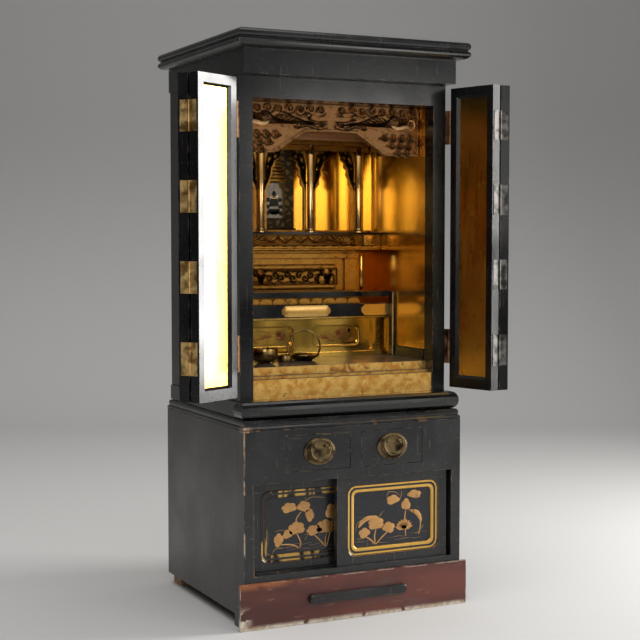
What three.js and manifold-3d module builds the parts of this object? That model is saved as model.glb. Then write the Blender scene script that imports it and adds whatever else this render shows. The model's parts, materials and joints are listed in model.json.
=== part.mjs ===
import * as THREE from 'three';
import { mergeVertices } from 'three/addons/utils/BufferGeometryUtils.js';
import Module from 'manifold-3d';

// Household altar cabinet. Millimetres, +Z up, front towards -Y.
// Design frame: X = 0 at the lower cabinet's left side, Y = 0 at its front, Z = 0 on the floor.

const wasm = await Module();
wasm.setup();

// ---- driving dimensions ----
const WIDTH = 546;            // lower cabinet, side to side
const DEPTH = 486;            // lower cabinet, front to back
const TOTAL_HEIGHT = 1300;
const GAP = 0.3;              // air left between two touching pieces

const POST_WIDTH = 24;        // front corner posts
const POST_DEPTH = 55;
const PANEL_THICKNESS = 14.5;
const SIDE_PANEL_BOTTOM = 26;
const PLINTH_TOP = 102;
const SILL_TOP = 116;
const DOOR_HEAD = 318;        // head of the sliding door opening
const DRAWER_BOTTOM = 340;
const DRAWER_TOP = 421;
const BASE_TOP = 444;
const TOP_BOARD = 8;
const FRAME_THICKNESS = 22;
const DRAWER_X = [101, 259.5];           // window of the left small drawer
const FRONT_TRACK = [7.5, 24.5];
const REAR_TRACK = [28, 45];
const SLIDE_DOOR_WIDTH = 284;
const SLIDE_DOOR_RIGHT_EDGE = 513.5;

const PLINTH_OVERHANG = 13;
const PLINTH_PROUD = 8;

const WAIST_BOTTOM = 457.8;
const WAIST_TOP = 497;
const WAIST_NOSE_Y = 9.4;
const BODY_X = 13;            // upper body side face
const JAMB_Y = [52, 90];
const JAMB_WIDTH = 32;
const UPPER_DEPTH = 488;
const LINTEL_BOTTOM = 1160;
const FRIEZE_BOTTOM = 1207.7;
const FRIEZE_TOP = 1262;
const FRIEZE_X = 9.4;
const FRIEZE_Y = 12;

const LEAF_WIDTH = 129;
const LEAF_THICKNESS = 23;
const LEAF_Z = [506, 1200];
const LEAF_PIN = [4.5, 45];   // jamb hinge axis of the left pair
const LEAF_START = 6;         // from the axis to the leaf's edge
const LEAF_FACE = -4;         // gold face, measured outwards from the axis
const LEAF_JOINT = 3;         // space between two coplanar leaves
const FOLD_PROUD = 2;         // leaf hinge axis outside the black faces
const LEFT_OPEN = 150.5;      // degrees the left inner leaf stands open
const RIGHT_OPEN = 106;
const SHORT_OF_FOLD = 16;     // degrees the outer leaves stand off the inner ones
const JAMB_HINGE_Z = [[561, 641], [1072, 1150]];
const KNUCKLE_RADIUS = 3.4;
const HINGE_PLATE = 2.4;      // thickness of the hinge metal
const HINGE_CLEARANCE = 1.6;  // plate behind the gold face of a closed leaf
const HINGE_WING = 34;        // from the axis back along the cabinet side

const WALL_X = [41, 505];     // gold side walls
const BACK_WALL_Y = 455;
const FLOOR_TOP = 566;
const THRESHOLD_TOP = 540.7;
const TRANSOM_Y = 128;
const PALACE_Y = 380;
const COLUMN_X = [72, 207, 341, 475];
const TABLE_TOP = 869;
const TABLE_Y = 317;
const PEDESTAL_Y = 330;
const STEP_Y = 280;
const RAIL_Y = 262;
const MID = WIDTH / 2;

// ---- materials ----
const material = (color, roughness, metalness = 0) =>
  ({ color, roughness, metalness });
const LACQUER = material('#14161c', 0.28);
const LACQUER_SIDE = material('#1d1916', 0.4);
const RED_LACQUER = material('#8c2a20', 0.4);
const BARE_WOOD = material('#b98d5a', 0.75);
const ORANGE_WOOD = material('#a85a1e', 0.6);
const GOLD = material('#d9a02c', 0.35, 0.6);
const OLD_GOLD = material('#a87a28', 0.45, 0.6);
const BRASS = material('#a8853c', 0.4, 0.9);
const COPPER = material('#8a5a35', 0.45, 0.9);
const BROCADE = material('#6d5022', 0.85);
const PICTURE = material('#15171c', 0.35);

// ---- solids ----
const vec = (x, y, z) => [x, y, z];
const degrees = (a) => a * Math.PI / 180;

// Makes a solid of a triangle list, turning it right side out first.
function solidOf(positions, triangles) {
  let volume = 0;
  const at = (i) => new THREE.Vector3().fromArray(positions, 3 * i);
  for (let t = 0; t < triangles.length; t += 3)
    volume += at(triangles[t]).dot(at(triangles[t + 1]).cross(at(triangles[t + 2])));
  if (volume < 0)
    for (let t = 0; t < triangles.length; t += 3)
      [triangles[t + 1], triangles[t + 2]] = [triangles[t + 2], triangles[t + 1]];
  return new wasm.Manifold(new wasm.Mesh({
    numProp: 3,
    vertProperties: new Float32Array(positions),
    triVerts: new Uint32Array(triangles),
  }));
}

const meshData = (points, faces) => solidOf(points.flat(), faces.flat());

function fromGeometry(geometry) {
  const bare = geometry.clone();
  bare.deleteAttribute('normal');
  bare.deleteAttribute('uv');
  const welded = mergeVertices(bare, 1e-4);
  return solidOf(Array.from(welded.attributes.position.array), Array.from(welded.index.array));
}

function toGeometry(solid) {
  const mesh = solid.getMesh();
  const geometry = new THREE.BufferGeometry();
  geometry.setAttribute('position', new THREE.BufferAttribute(mesh.vertProperties, 3));
  geometry.setIndex(new THREE.BufferAttribute(mesh.triVerts, 1));
  geometry.computeVertexNormals();
  return geometry;
}

function box(x0, x1, y0, y1, z0, z1) {
  const geometry = new THREE.BoxGeometry(x1 - x0, y1 - y0, z1 - z0);
  geometry.translate((x0 + x1) / 2, (y0 + y1) / 2, (z0 + z1) / 2);
  return fromGeometry(geometry);
}

const union = (...solids) => solids.flat().reduce((a, b) => a.add(b));
const cut = (solid, ...tools) => tools.flat().reduce((a, b) => a.subtract(b), solid);

// A polygon in the X-Z plane given anticlockwise as seen from the front, made y0..y1 thick.
function slab(polygon, y0, y1, holes = []) {
  const shape = new THREE.Shape(polygon.map(([x, z]) => new THREE.Vector2(x, z)));
  for (const hole of holes)
    shape.holes.push(new THREE.Path(hole.map(([x, z]) => new THREE.Vector2(x, z))));
  const geometry = new THREE.ExtrudeGeometry(shape, { depth: y1 - y0, bevelEnabled: false });
  geometry.rotateX(Math.PI / 2);
  geometry.translate(0, y1, 0);
  return fromGeometry(geometry);
}

function circle(cx, cz, radius, count, squash = 1, from = 0) {
  return Array.from({ length: count }, (_, i) => {
    const a = from + 2 * Math.PI * i / count;
    return [cx + radius * Math.cos(a), cz + radius * squash * Math.sin(a)];
  });
}

function roundedRect(x0, x1, z0, z1, radius, steps = 4) {
  const points = [];
  const corners = [[x1 - radius, z0 + radius, -90], [x1 - radius, z1 - radius, 0],
    [x0 + radius, z1 - radius, 90], [x0 + radius, z0 + radius, 180]];
  for (const [cx, cz, start] of corners)
    for (let i = 0; i <= steps; i += 1) {
      const a = degrees(start + 90 * i / steps);
      points.push([cx + radius * Math.cos(a), cz + radius * Math.sin(a)]);
    }
  return points;
}

// Closed loops of equal length, skinned in order and capped at both ends.
function loft(loops) {
  const count = loops[0].length;
  const points = loops.flat();
  const faces = [];
  for (let k = 0; k + 1 < loops.length; k += 1)
    for (let i = 0; i < count; i += 1) {
      const j = (i + 1) % count;
      const a = k * count + i;
      const b = k * count + j;
      faces.push([a, b, b + count], [a, b + count, a + count]);
    }
  const last = (loops.length - 1) * count;
  for (let i = 1; i + 1 < count; i += 1) {
    faces.push([0, i + 1, i]);
    faces.push([last, last + i, last + i + 1]);
  }
  return meshData(points, faces);
}

// Loops whose last joins the first: a picture-frame ring.
function ringLoft(loops) {
  const count = loops[0].length;
  const total = loops.length;
  const points = loops.flat();
  const faces = [];
  for (let k = 0; k < total; k += 1)
    for (let i = 0; i < count; i += 1) {
      const j = (i + 1) % count;
      const n = (k + 1) % total;
      const [a, b, c, d] = [k * count + i, k * count + j, n * count + j, n * count + i];
      faces.push([a, b, c], [a, c, d]);
    }
  return meshData(points, faces);
}

function lathe(profile, segments, cx, cy) {
  const geometry = new THREE.LatheGeometry(
    profile.map(([r, z]) => new THREE.Vector2(r, z)), segments);
  geometry.rotateX(Math.PI / 2);
  geometry.translate(cx, cy, 0);
  return fromGeometry(geometry);
}

// A rod of radius r (or a list of radii) along a path, with flat ends.
function rod(path, radius, sides = 6) {
  const at = path.map((p) => new THREE.Vector3(...p));
  let up = new THREE.Vector3(0, 1, 0);
  const loops = at.map((p, i) => {
    const ahead = at[Math.min(i + 1, at.length - 1)].clone();
    const along = ahead.sub(at[Math.max(i - 1, 0)]).normalize();
    if (Math.abs(along.dot(up)) > 0.95) up = new THREE.Vector3(1, 0, 0);
    const side = new THREE.Vector3().crossVectors(along, up).normalize();
    up = new THREE.Vector3().crossVectors(side, along).normalize();
    const r = Array.isArray(radius) ? radius[i] : radius;
    return Array.from({ length: sides }, (_, k) => {
      const a = 2 * Math.PI * k / sides;
      return vec(p.x + r * (Math.cos(a) * side.x + Math.sin(a) * up.x),
        p.y + r * (Math.cos(a) * side.y + Math.sin(a) * up.y),
        p.z + r * (Math.cos(a) * side.z + Math.sin(a) * up.z));
    });
  });
  return loft(loops);
}

// A rectangle ring in plan (for mouldings that run round the cabinet), at one height.
const planRect = (x0, x1, y0, y1, out, z) =>
  [vec(x0 - out, y0 - out, z), vec(x1 + out, y0 - out, z),
    vec(x1 + out, y1 + out, z), vec(x0 - out, y1 + out, z)];

const group = new THREE.Group();
const pieces = [];

function piece(name, solid, look) {
  const mesh = new THREE.Mesh(toGeometry(solid), new THREE.MeshStandardMaterial(look));
  mesh.name = name;
  group.add(mesh);
  pieces.push(mesh);
  return mesh;
}

// ---- lower cabinet ----
const mirror = (x) => WIDTH - x;
const UNDER_TOP = BASE_TOP - TOP_BOARD - GAP;
const HEAD_RAIL = 14;
const LOWER_GROOVE = 4;
const UPPER_GROOVE = 8;

const frontPost = (x) => box(x, x + POST_WIDTH, 0, POST_DEPTH, 0, UNDER_TOP);
const crossBar = (depth, z0, z1) => box(POST_WIDTH - 1, mirror(POST_WIDTH - 1), 0, depth, z0, z1);
const drawerWindow = (x0, x1) => box(x0, x1, -5, FRAME_THICKNESS + 8, DRAWER_BOTTOM, DRAWER_TOP);
const groove = ([y0, y1], z0, z1) => box(POST_WIDTH, mirror(POST_WIDTH), y0, y1, z0, z1);
const grooves = [FRONT_TRACK, REAR_TRACK].flatMap((track) => [
  groove(track, SILL_TOP - LOWER_GROOVE, SILL_TOP + 1),
  groove(track, DOOR_HEAD - 1, DOOR_HEAD + UPPER_GROOVE)]);
piece('base_front_frame', cut(
  union(
    frontPost(0),
    frontPost(mirror(POST_WIDTH)),
    crossBar(FRAME_THICKNESS, DOOR_HEAD, UNDER_TOP),
    crossBar(POST_DEPTH, DOOR_HEAD, DOOR_HEAD + HEAD_RAIL),
    crossBar(POST_DEPTH, PLINTH_TOP, SILL_TOP)),
  drawerWindow(...DRAWER_X),
  drawerWindow(mirror(DRAWER_X[1]), mirror(DRAWER_X[0])),
  grooves), LACQUER);

const SIDE_SET_BACK = 0.6;    // side panels behind the posts' outer faces
const sidePanelY = [POST_DEPTH + GAP, DEPTH];
piece('base_panel_left',
  box(SIDE_SET_BACK, PANEL_THICKNESS, ...sidePanelY, SIDE_PANEL_BOTTOM, UNDER_TOP), LACQUER_SIDE);
piece('base_panel_right',
  box(mirror(PANEL_THICKNESS), mirror(SIDE_SET_BACK), ...sidePanelY, SIDE_PANEL_BOTTOM, UNDER_TOP),
  LACQUER_SIDE);

const FOOT_RAIL_TOP = 40;
const FOOT_RAIL_DEPTH = 50;
const BACK_BOARD = 10;
const backBoardY = [DEPTH - BACK_BOARD - 1, DEPTH - 1];
const innerX = [PANEL_THICKNESS + GAP, mirror(PANEL_THICKNESS) - GAP];
const boardY = [POST_DEPTH + GAP, backBoardY[0] - GAP];
const board = (z0) => box(...innerX, ...boardY, z0, z0 + BACK_BOARD);
piece('base_back', box(...innerX, ...backBoardY, FOOT_RAIL_TOP + GAP, UNDER_TOP), BARE_WOOD);
piece('base_shelf', board(DRAWER_BOTTOM - 1 - BACK_BOARD), BARE_WOOD);
piece('base_floor', board(PLINTH_TOP), BARE_WOOD);
piece('rear_foot_rail', box(...innerX, DEPTH - FOOT_RAIL_DEPTH, DEPTH - GAP, 0, FOOT_RAIL_TOP), BARE_WOOD);

const topBoardProfile = [[-1.5, BASE_TOP - TOP_BOARD], [0, BASE_TOP - 6], [0, BASE_TOP - 3], [-3, BASE_TOP]];
piece('base_top_board',
  loft(topBoardProfile.map(([out, z]) => planRect(0, WIDTH, 0, DEPTH, out, z))), LACQUER);

// plinth drawer: the red front covers the posts, the tray runs between them
const TRAY = { x: [POST_WIDTH + 3, mirror(POST_WIDTH + 3)], back: 400, z: [14, 86], wall: 9, bottom: 6 };
piece('plinth_drawer', cut(
  union(
    box(-PLINTH_OVERHANG, WIDTH + PLINTH_OVERHANG, -PLINTH_PROUD, -GAP, 0.8, PLINTH_TOP),
    box(...TRAY.x, -GAP - 1, TRAY.back, ...TRAY.z)),
  box(TRAY.x[0] + TRAY.wall, TRAY.x[1] - TRAY.wall, 8, TRAY.back - TRAY.wall, TRAY.z[0] + TRAY.bottom,
    TRAY.z[1] + 4)), RED_LACQUER);

const GRIP = { x: [151, 395], z: [44, 65.5], corner: 8, chamfer: 3 };
const gripSection = [[0, GAP], [0, 9], [GRIP.chamfer, 12]];   // inset, proud of the red front
piece('plinth_grip', loft(gripSection.map(([inset, proud]) =>
  roundedRect(GRIP.x[0] + inset, GRIP.x[1] - inset, GRIP.z[0] + inset, GRIP.z[1] - inset,
    GRIP.corner - inset, 3)
    .map(([x, z]) => vec(x, -PLINTH_PROUD - proud, z)))), LACQUER);

const DRAWER_LENGTH = 330;
const DRAWER_WALL = 7;
function smallDrawer(x0, x1) {
  const z0 = DRAWER_BOTTOM + 1;
  const [box0, box1] = [x0 + 4, x1 - 4];
  return cut(
    union(
      box(x0, x1, 0.6, 15, z0, DRAWER_TOP - 1),
      box(box0, box1, 14, DRAWER_LENGTH, z0, DRAWER_TOP - 9)),
    box(box0 + DRAWER_WALL, box1 - DRAWER_WALL, 15, DRAWER_LENGTH - DRAWER_WALL, z0 + 6, DRAWER_TOP + 5));
}
piece('drawer_left', smallDrawer(DRAWER_X[0] + 1, DRAWER_X[1] - 1), LACQUER);
piece('drawer_right', smallDrawer(mirror(DRAWER_X[1]) + 1, mirror(DRAWER_X[0]) - 1), LACQUER);

// oval pull: raised plate with a sunk dish, two bosses, and a bail that hangs on them
const PULL_X = 181;
const PULL_Z = 382.5;
const PULL_HALF = [39, 31];
const PIVOT = { y: -8, z: PULL_Z + 13, half: 14 };
const BOSS_RADIUS = 4.4;
const BAIL_RADIUS = 2.3;
const pullProfile = [[0.55, -1.2], [0.76, -4.6], [0.84, -3.2], [0.88, -5], [0.96, -5], [1, 0.2]];
function pullPlate(cx) {
  const oval = pullProfile.map(([share, y]) =>
    circle(cx, PULL_Z, share * PULL_HALF[0], 14, PULL_HALF[1] / PULL_HALF[0]).map(([x, z]) => vec(x, y, z)));
  const bosses = [-1, 1].map((s) => {
    const at = (y) => vec(cx + s * PIVOT.half, y, PIVOT.z);
    return rod([at(-0.5), at(-9), at(-11)], [BOSS_RADIUS, BOSS_RADIUS, 2.8], 6);
  });
  return union(loft(oval), bosses);
}
function pullBail(cx) {
  const tip = PIVOT.half + BOSS_RADIUS + GAP;
  const ends = [tip, tip + 2.6];
  const at = (dx, dz = 0) => vec(cx + dx, PIVOT.y, PIVOT.z + dz);
  const arc = Array.from({ length: 11 }, (_, i) => {
    const a = degrees(188 + 164 * i / 10);
    return at(24.5 * Math.cos(a), 29 * Math.sin(a) - 4);
  });
  return rod([at(-ends[0]), at(-ends[1]), ...arc, at(ends[1]), at(ends[0])], BAIL_RADIUS, 5);
}
for (const [side, cx] of [['left', PULL_X], ['right', mirror(PULL_X)]]) {
  piece(`pull_plate_${side}`, pullPlate(cx), BRASS);
  piece(`pull_bail_${side}`, pullBail(cx), BRASS);
}

// sliding doors: black frame with a stepped border round the picture panel
const SLIDE_THICKNESS = 15.4;
const BORDER = 18;
const BORDER_CORNER = [20, 10];          // outer and inner corner radius
const slideZ = [SILL_TOP - 3.4, DOOR_HEAD + 7];
const borderZ = [134.5, 297];
const borderSection = [[0, 1], [2.5, 3], [15, 3.4], [BORDER, 6]];   // inset, depth behind the face
function slideDoor(side, x0, track) {
  const x1 = x0 + SLIDE_DOOR_WIDTH;
  const y0 = track[0] + 0.8;
  const y1 = y0 + SLIDE_THICKNESS;
  const borderX = [x0 + 27, x1 - 21];
  const outer = (y) => roundedRect(x0, x1, ...slideZ, 1, 3).map(([x, z]) => vec(x, y, z));
  const outline = (inset) => {
    const corner = BORDER_CORNER[0] + (BORDER_CORNER[1] - BORDER_CORNER[0]) * inset / BORDER;
    return roundedRect(borderX[0] + inset, borderX[1] - inset, borderZ[0] + inset, borderZ[1] - inset,
      corner, 3);
  };
  const inner = (inset, y) => outline(inset).map(([x, z]) => vec(x, y, z));
  const steps = borderSection.map(([inset, depth]) => inner(inset, y0 + depth));
  piece(`slide_frame_${side}`, ringLoft([outer(y1), outer(y0), ...steps, inner(BORDER, y1)]), LACQUER);
  piece(`slide_panel_${side}`, slab(outline(BORDER + GAP), y0 + 7, y1 - 2), PICTURE);
}
slideDoor('left', POST_WIDTH + 0.8, REAR_TRACK);
slideDoor('right', SLIDE_DOOR_RIGHT_EDGE - SLIDE_DOOR_WIDTH, FRONT_TRACK);

// ---- upper cabinet shell ----
const bottomBoardProfile = [[-1, BASE_TOP + GAP], [0, BASE_TOP + 4], [0, BASE_TOP + 9],
  [-3, WAIST_BOTTOM - GAP]];
piece('upper_bottom_board', loft(bottomBoardProfile.map(([out, z]) =>
  planRect(3, mirror(3), 4, 482, out, z))), LACQUER);

// half-round waist moulding: across the front and a short way down each side, thin strips behind
const WAIST_RETURN = 55;
const WAIST_OUT = 13;         // how far the half round stands out
const WAIST_X = 11.2;
const waistHalf = (WAIST_TOP - WAIST_BOTTOM) / 2;
const waistY = WAIST_NOSE_Y + WAIST_OUT;
const nose = Array.from({ length: 9 }, (_, i) => {
  const a = degrees(-90 + 180 * i / 8);
  return [WAIST_OUT * Math.cos(a), WAIST_BOTTOM + waistHalf + waistHalf * Math.sin(a)];
});
function waistPath(out, z) {
  const [x0, y0] = [WAIST_X - out, waistY - out];
  return [vec(x0, y0, z), vec(mirror(x0), y0, z), vec(mirror(x0), WAIST_RETURN, z), vec(x0, WAIST_RETURN, z)];
}
const waistStrip = (x) => box(x, x + WAIST_OUT, WAIST_RETURN - 1, 480, WAIST_BOTTOM + 2, WAIST_TOP - 3);
piece('waist_moulding', cut(
  union(loft(nose.map(([out, z]) => waistPath(out, z))), waistStrip(7), waistStrip(mirror(7 + WAIST_OUT))),
  box(BODY_X - GAP, mirror(BODY_X - GAP), JAMB_Y[0] - GAP, 500, WAIST_BOTTOM - 5, WAIST_TOP + 5)), LACQUER);

const sideInner = 30;
const jambInner = BODY_X + JAMB_WIDTH;
const shellZ = [WAIST_BOTTOM, FRIEZE_BOTTOM - GAP];
const shellInnerX = [sideInner + GAP, mirror(sideInner) - GAP];
piece('upper_side_left', box(BODY_X, sideInner, JAMB_Y[1] + GAP, UPPER_DEPTH, ...shellZ), LACQUER_SIDE);
piece('upper_side_right',
  box(mirror(sideInner), mirror(BODY_X), JAMB_Y[1] + GAP, UPPER_DEPTH, ...shellZ), LACQUER_SIDE);
piece('upper_front_frame', cut(
  box(BODY_X, mirror(BODY_X), ...JAMB_Y, ...shellZ),
  box(jambInner, mirror(jambInner), JAMB_Y[0] - 5, JAMB_Y[1] + 5, WAIST_BOTTOM - 5, LINTEL_BOTTOM)), LACQUER);

const FRIEZE_WALL = { side: 20, front: 38, back: 14, top: 10 };
piece('cornice_frieze', cut(
  box(FRIEZE_X, mirror(FRIEZE_X), FRIEZE_Y, UPPER_DEPTH, FRIEZE_BOTTOM, FRIEZE_TOP),
  box(FRIEZE_X + FRIEZE_WALL.side, mirror(FRIEZE_X + FRIEZE_WALL.side), FRIEZE_Y + FRIEZE_WALL.front,
    UPPER_DEPTH - FRIEZE_WALL.back, FRIEZE_BOTTOM - 5, FRIEZE_TOP - FRIEZE_WALL.top)), LACQUER);

const crownProfile = [[0.5, FRIEZE_TOP + GAP], [13, 1263], [19, 1265.5], [23.5, 1270], [24, 1274],
  [22.5, 1278], [19.5, 1280], [18.5, 1281.5], [18.5, 1283], [21.5, 1285], [23.6, 1288.5], [23.6, 1294],
  [21.5, 1298], [18, TOTAL_HEIGHT]];
piece('crown_board', loft(crownProfile.map(([out, z]) =>
  planRect(FRIEZE_X, mirror(FRIEZE_X), 8, 476, out, z))), LACQUER);
piece('upper_back', box(...shellInnerX, UPPER_DEPTH - 13, UPPER_DEPTH - 3, ...shellZ), BARE_WOOD);
piece('ceiling_board', box(...shellInnerX, JAMB_Y[1] + GAP, UPPER_DEPTH - 13.5, LINTEL_BOTTOM + GAP,
  LINTEL_BOTTOM + 9), LACQUER);

// ---- bi-fold doors ----
// A leaf in its own axes: s along the leaf from the pin, n outwards (black face), placed in plan.
function leafPlace(pin, sDir, nDir) {
  return (s, n, z) => vec(pin[0] + s * sDir[0] + n * nDir[0], pin[1] + s * sDir[1] + n * nDir[1], z);
}
const rotate = ([x, y], a) => [x * Math.cos(a) - y * Math.sin(a), x * Math.sin(a) + y * Math.cos(a)];

function leafFrames(side) {
  const sign = side === 'left' ? 1 : -1;
  const open = degrees(side === 'left' ? LEFT_OPEN : RIGHT_OPEN);
  const pin = side === 'left' ? LEAF_PIN : [mirror(LEAF_PIN[0]), LEAF_PIN[1]];
  const s = rotate([sign, 0], -sign * open);
  const n = rotate([0, -1], -sign * open);
  const reach = LEAF_START + LEAF_WIDTH + LEAF_JOINT / 2;
  const out = LEAF_FACE + LEAF_THICKNESS + FOLD_PROUD;
  const fold = [pin[0] + reach * s[0] + out * n[0], pin[1] + reach * s[1] + out * n[1]];
  // folded: the outer leaf runs back along -s, its black face towards the inner leaf's
  const a = degrees(SHORT_OF_FOLD);
  const s2 = [-s[0] * Math.cos(a) + n[0] * Math.sin(a), -s[1] * Math.cos(a) + n[1] * Math.sin(a)];
  const n2 = [-n[0] * Math.cos(a) - s[0] * Math.sin(a), -n[1] * Math.cos(a) - s[1] * Math.sin(a)];
  return {
    pin, fold,
    inner: { place: leafPlace(pin, s, n), start: LEAF_START, face: LEAF_FACE },
    outer: { place: leafPlace(fold, s2, n2), start: LEAF_JOINT / 2, face: -FOLD_PROUD - LEAF_THICKNESS },
  };
}

const STILE = 18;
const TOP_RAIL = 20;
const BOTTOM_RAIL = 24;
const BEVEL = 5;
function leaf(side, part, { place, start, face }) {
  const rect = (inset, n) => {
    const s0 = start + (inset ? STILE + inset - BEVEL : 0);
    const s1 = start + LEAF_WIDTH - (inset ? STILE + inset - BEVEL : 0);
    const z0 = LEAF_Z[0] + (inset ? BOTTOM_RAIL + inset - BEVEL : 0);
    const z1 = LEAF_Z[1] - (inset ? TOP_RAIL + inset - BEVEL : 0);
    return [place(s0, n, z0), place(s1, n, z0), place(s1, n, z1), place(s0, n, z1)];
  };
  const far = face + LEAF_THICKNESS;
  const loops = [rect(0, far), rect(0, face), rect(BEVEL, face), rect(2 * BEVEL, face + 6),
    rect(2 * BEVEL, far - 5), rect(BEVEL, far)];
  piece(`leaf_frame_${side}_${part}`, ringLoft(loops), LACQUER);
  const inset = 2 * BEVEL + GAP;
  piece(`leaf_panel_${side}_${part}`, loft([rect(inset, face + 7), rect(inset, far - 6)]), GOLD);
}
// A knuckle round the axis, and a cranked plate that passes behind the closed leaf to the side.
function jambHinge(side, [z0, z1]) {
  const [px, py] = LEAF_PIN;
  const outward = side === 'left' ? (x) => x : mirror;
  const plate = (x0, x1, y0, y1) =>
    box(Math.min(outward(x0), outward(x1)), Math.max(outward(x0), outward(x1)), y0, y1, z0, z1);
  const side0 = BODY_X - GAP;
  const crankY = py - LEAF_FACE + HINGE_CLEARANCE;
  return union(
    rod([vec(outward(px), py, z0), vec(outward(px), py, z1)], KNUCKLE_RADIUS, 8),
    plate(px - HINGE_PLATE / 2, px + HINGE_PLATE / 2, py, crankY + HINGE_PLATE),
    plate(px - HINGE_PLATE / 2, side0, crankY, crankY + HINGE_PLATE),
    plate(side0 - HINGE_PLATE, side0, crankY, py + HINGE_WING));
}
for (const side of ['left', 'right']) {
  const frames = leafFrames(side);
  leaf(side, 'inner', frames.inner);
  leaf(side, 'outer', frames.outer);
  JAMB_HINGE_Z.forEach((z, i) =>
    piece(`jamb_hinge_${side}_${i === 0 ? 'lower' : 'upper'}`, jambHinge(side, z), COPPER));
}

// ---- interior shell ----
const linerY = [JAMB_Y[1] + GAP, BACK_WALL_Y - GAP];
const linerZ = [FLOOR_TOP + GAP, LINTEL_BOTTOM];
const mouthX = [jambInner + GAP, mirror(jambInner) - GAP];   // between the door jambs
piece('inner_wall_left', box(shellInnerX[0], WALL_X[0], ...linerY, ...linerZ), GOLD);
piece('inner_wall_right', box(WALL_X[1], shellInnerX[1], ...linerY, ...linerZ), GOLD);
piece('inner_back_wall', box(...shellInnerX, BACK_WALL_Y, BACK_WALL_Y + 8, ...linerZ), GOLD);
piece('gold_threshold', box(...mouthX, 55, 70, WAIST_BOTTOM, THRESHOLD_TOP), GOLD);
piece('inner_floor', union(
  box(...mouthX, 81, 120, THRESHOLD_TOP + GAP, FLOOR_TOP),
  box(...mouthX, 71, 120, THRESHOLD_TOP - 8, THRESHOLD_TOP + 6),
  box(...shellInnerX, JAMB_Y[1] + GAP, UPPER_DEPTH - 13.5, THRESHOLD_TOP + GAP, FLOOR_TOP)), GOLD);

// black surround: skirtings, cheek posts and the shelf that runs behind the step rail
const CHEEK_Y = [240, 258];
const CHEEK_WIDTH = 8;
const SKIRTING = 3;
const SKIRTING_TOP = 593;
const SHELF = { y: [270, 300], z: [711, 724], end: 118 };
const insideX = [WALL_X[0] + GAP, WALL_X[1] - GAP];
const cheekX = [[insideX[0], insideX[0] + CHEEK_WIDTH], [insideX[1] - CHEEK_WIDTH, insideX[1]]];
const skirtingX = [[insideX[0], insideX[0] + SKIRTING], [insideX[1] - SKIRTING, insideX[1]]];
piece('step_surround', union(
  skirtingX.map((x) => box(...x, JAMB_Y[1] + 8, CHEEK_Y[1], FLOOR_TOP + GAP, SKIRTING_TOP)),
  cheekX.map((x) => box(...x, ...CHEEK_Y, FLOOR_TOP + GAP, SHELF.z[1])),
  cheekX.map((x) => box(...x, CHEEK_Y[1] - 1, SHELF.y[1] - 10, ...SHELF.z)),
  box(insideX[0], SHELF.end, ...SHELF.y, ...SHELF.z),
  box(mirror(SHELF.end), insideX[1], ...SHELF.y, ...SHELF.z),
  box(...insideX, SHELF.y[1] - 12, SHELF.y[1], ...SHELF.z)), LACQUER);

// ---- altar step: two wide sunk panels, narrow carved ones at the ends ----
const fullX = [WALL_X[0] + 0.8, WALL_X[1] - 0.8];            // pieces that span the interior
const stepPanels = [[95, 270], [276, 451]];
const stepTop = 664;
const FRAME_INSET = { x: 22, z: [590, 643], depth: 5, corner: 14 };
const FIELD_INSET = { x: 27, z: [594, 639], depth: 9, corner: 10 };
const sunk = (x0, x1, [z0, z1], depth, radius) =>
  slab(roundedRect(x0, x1, z0, z1, radius, 3), STEP_Y - 3, STEP_Y + depth);
const sunkPanel = (inset) => stepPanels.map(([x0, x1]) =>
  sunk(x0 + inset.x, x1 - inset.x, inset.z, inset.depth, inset.corner));
const flutes = [stepPanels[0][0] - 12, stepPanels[1][1] + 3].map((x) => sunk(x, x + 9, [582, 655], 7, 1));
const endPanels = [fullX[0] + 4, fullX[1] - 34].map((x) => sunk(x, x + 30, [584, 653], 3, 2));
piece('altar_step', cut(
  union(
    box(...fullX, STEP_Y, BACK_WALL_Y - GAP, FLOOR_TOP + GAP, stepTop),
    box(...fullX, STEP_Y - 5, STEP_Y + 2, FLOOR_TOP + GAP, 577),
    box(...fullX, RAIL_Y + 2, STEP_Y + 2, stepTop - 4, stepTop)),
  sunkPanel(FRAME_INSET), sunkPanel(FIELD_INSET), flutes, endPanels,
  box(fullX[0] + 12, fullX[1] - 12, STEP_Y + 20, BACK_WALL_Y + 5, FLOOR_TOP - 5, stepTop - 12)), GOLD);

// black rail with notched gold mounts in the middle and at both ends
const MOUNT_Z = [666, 692.5];
const MOUNT_PROUD = 2.5;
function mount(x0, x1) {
  const half = (MOUNT_Z[1] - MOUNT_Z[0]) / 2;
  const centre = (MOUNT_Z[0] + MOUNT_Z[1]) / 2;
  const outline = [[x1, 1], [x0, -1]].flatMap(([x, s]) => Array.from({ length: 7 }, (_, i) => {
    const a = degrees(-90 + 180 * i / 6);
    const pinch = i === 2 || i === 4 ? 3 : 0;
    return [x - s * (half - half * Math.cos(a) + pinch), centre + s * half * Math.sin(a)];
  }));
  const kept = outline.map(([x, z]) => [Math.min(Math.max(x, fullX[0]), fullX[1]), z]);
  return slab(kept, RAIL_Y - MOUNT_PROUD, RAIL_Y + 1);
}
piece('step_rail', union(
  box(...fullX, RAIL_Y, SHELF.y[1], stepTop + GAP, 694),
  mount(MID - 65, MID + 65),
  mount(20, 124),
  mount(mirror(124), mirror(20))), LACQUER);

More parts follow.
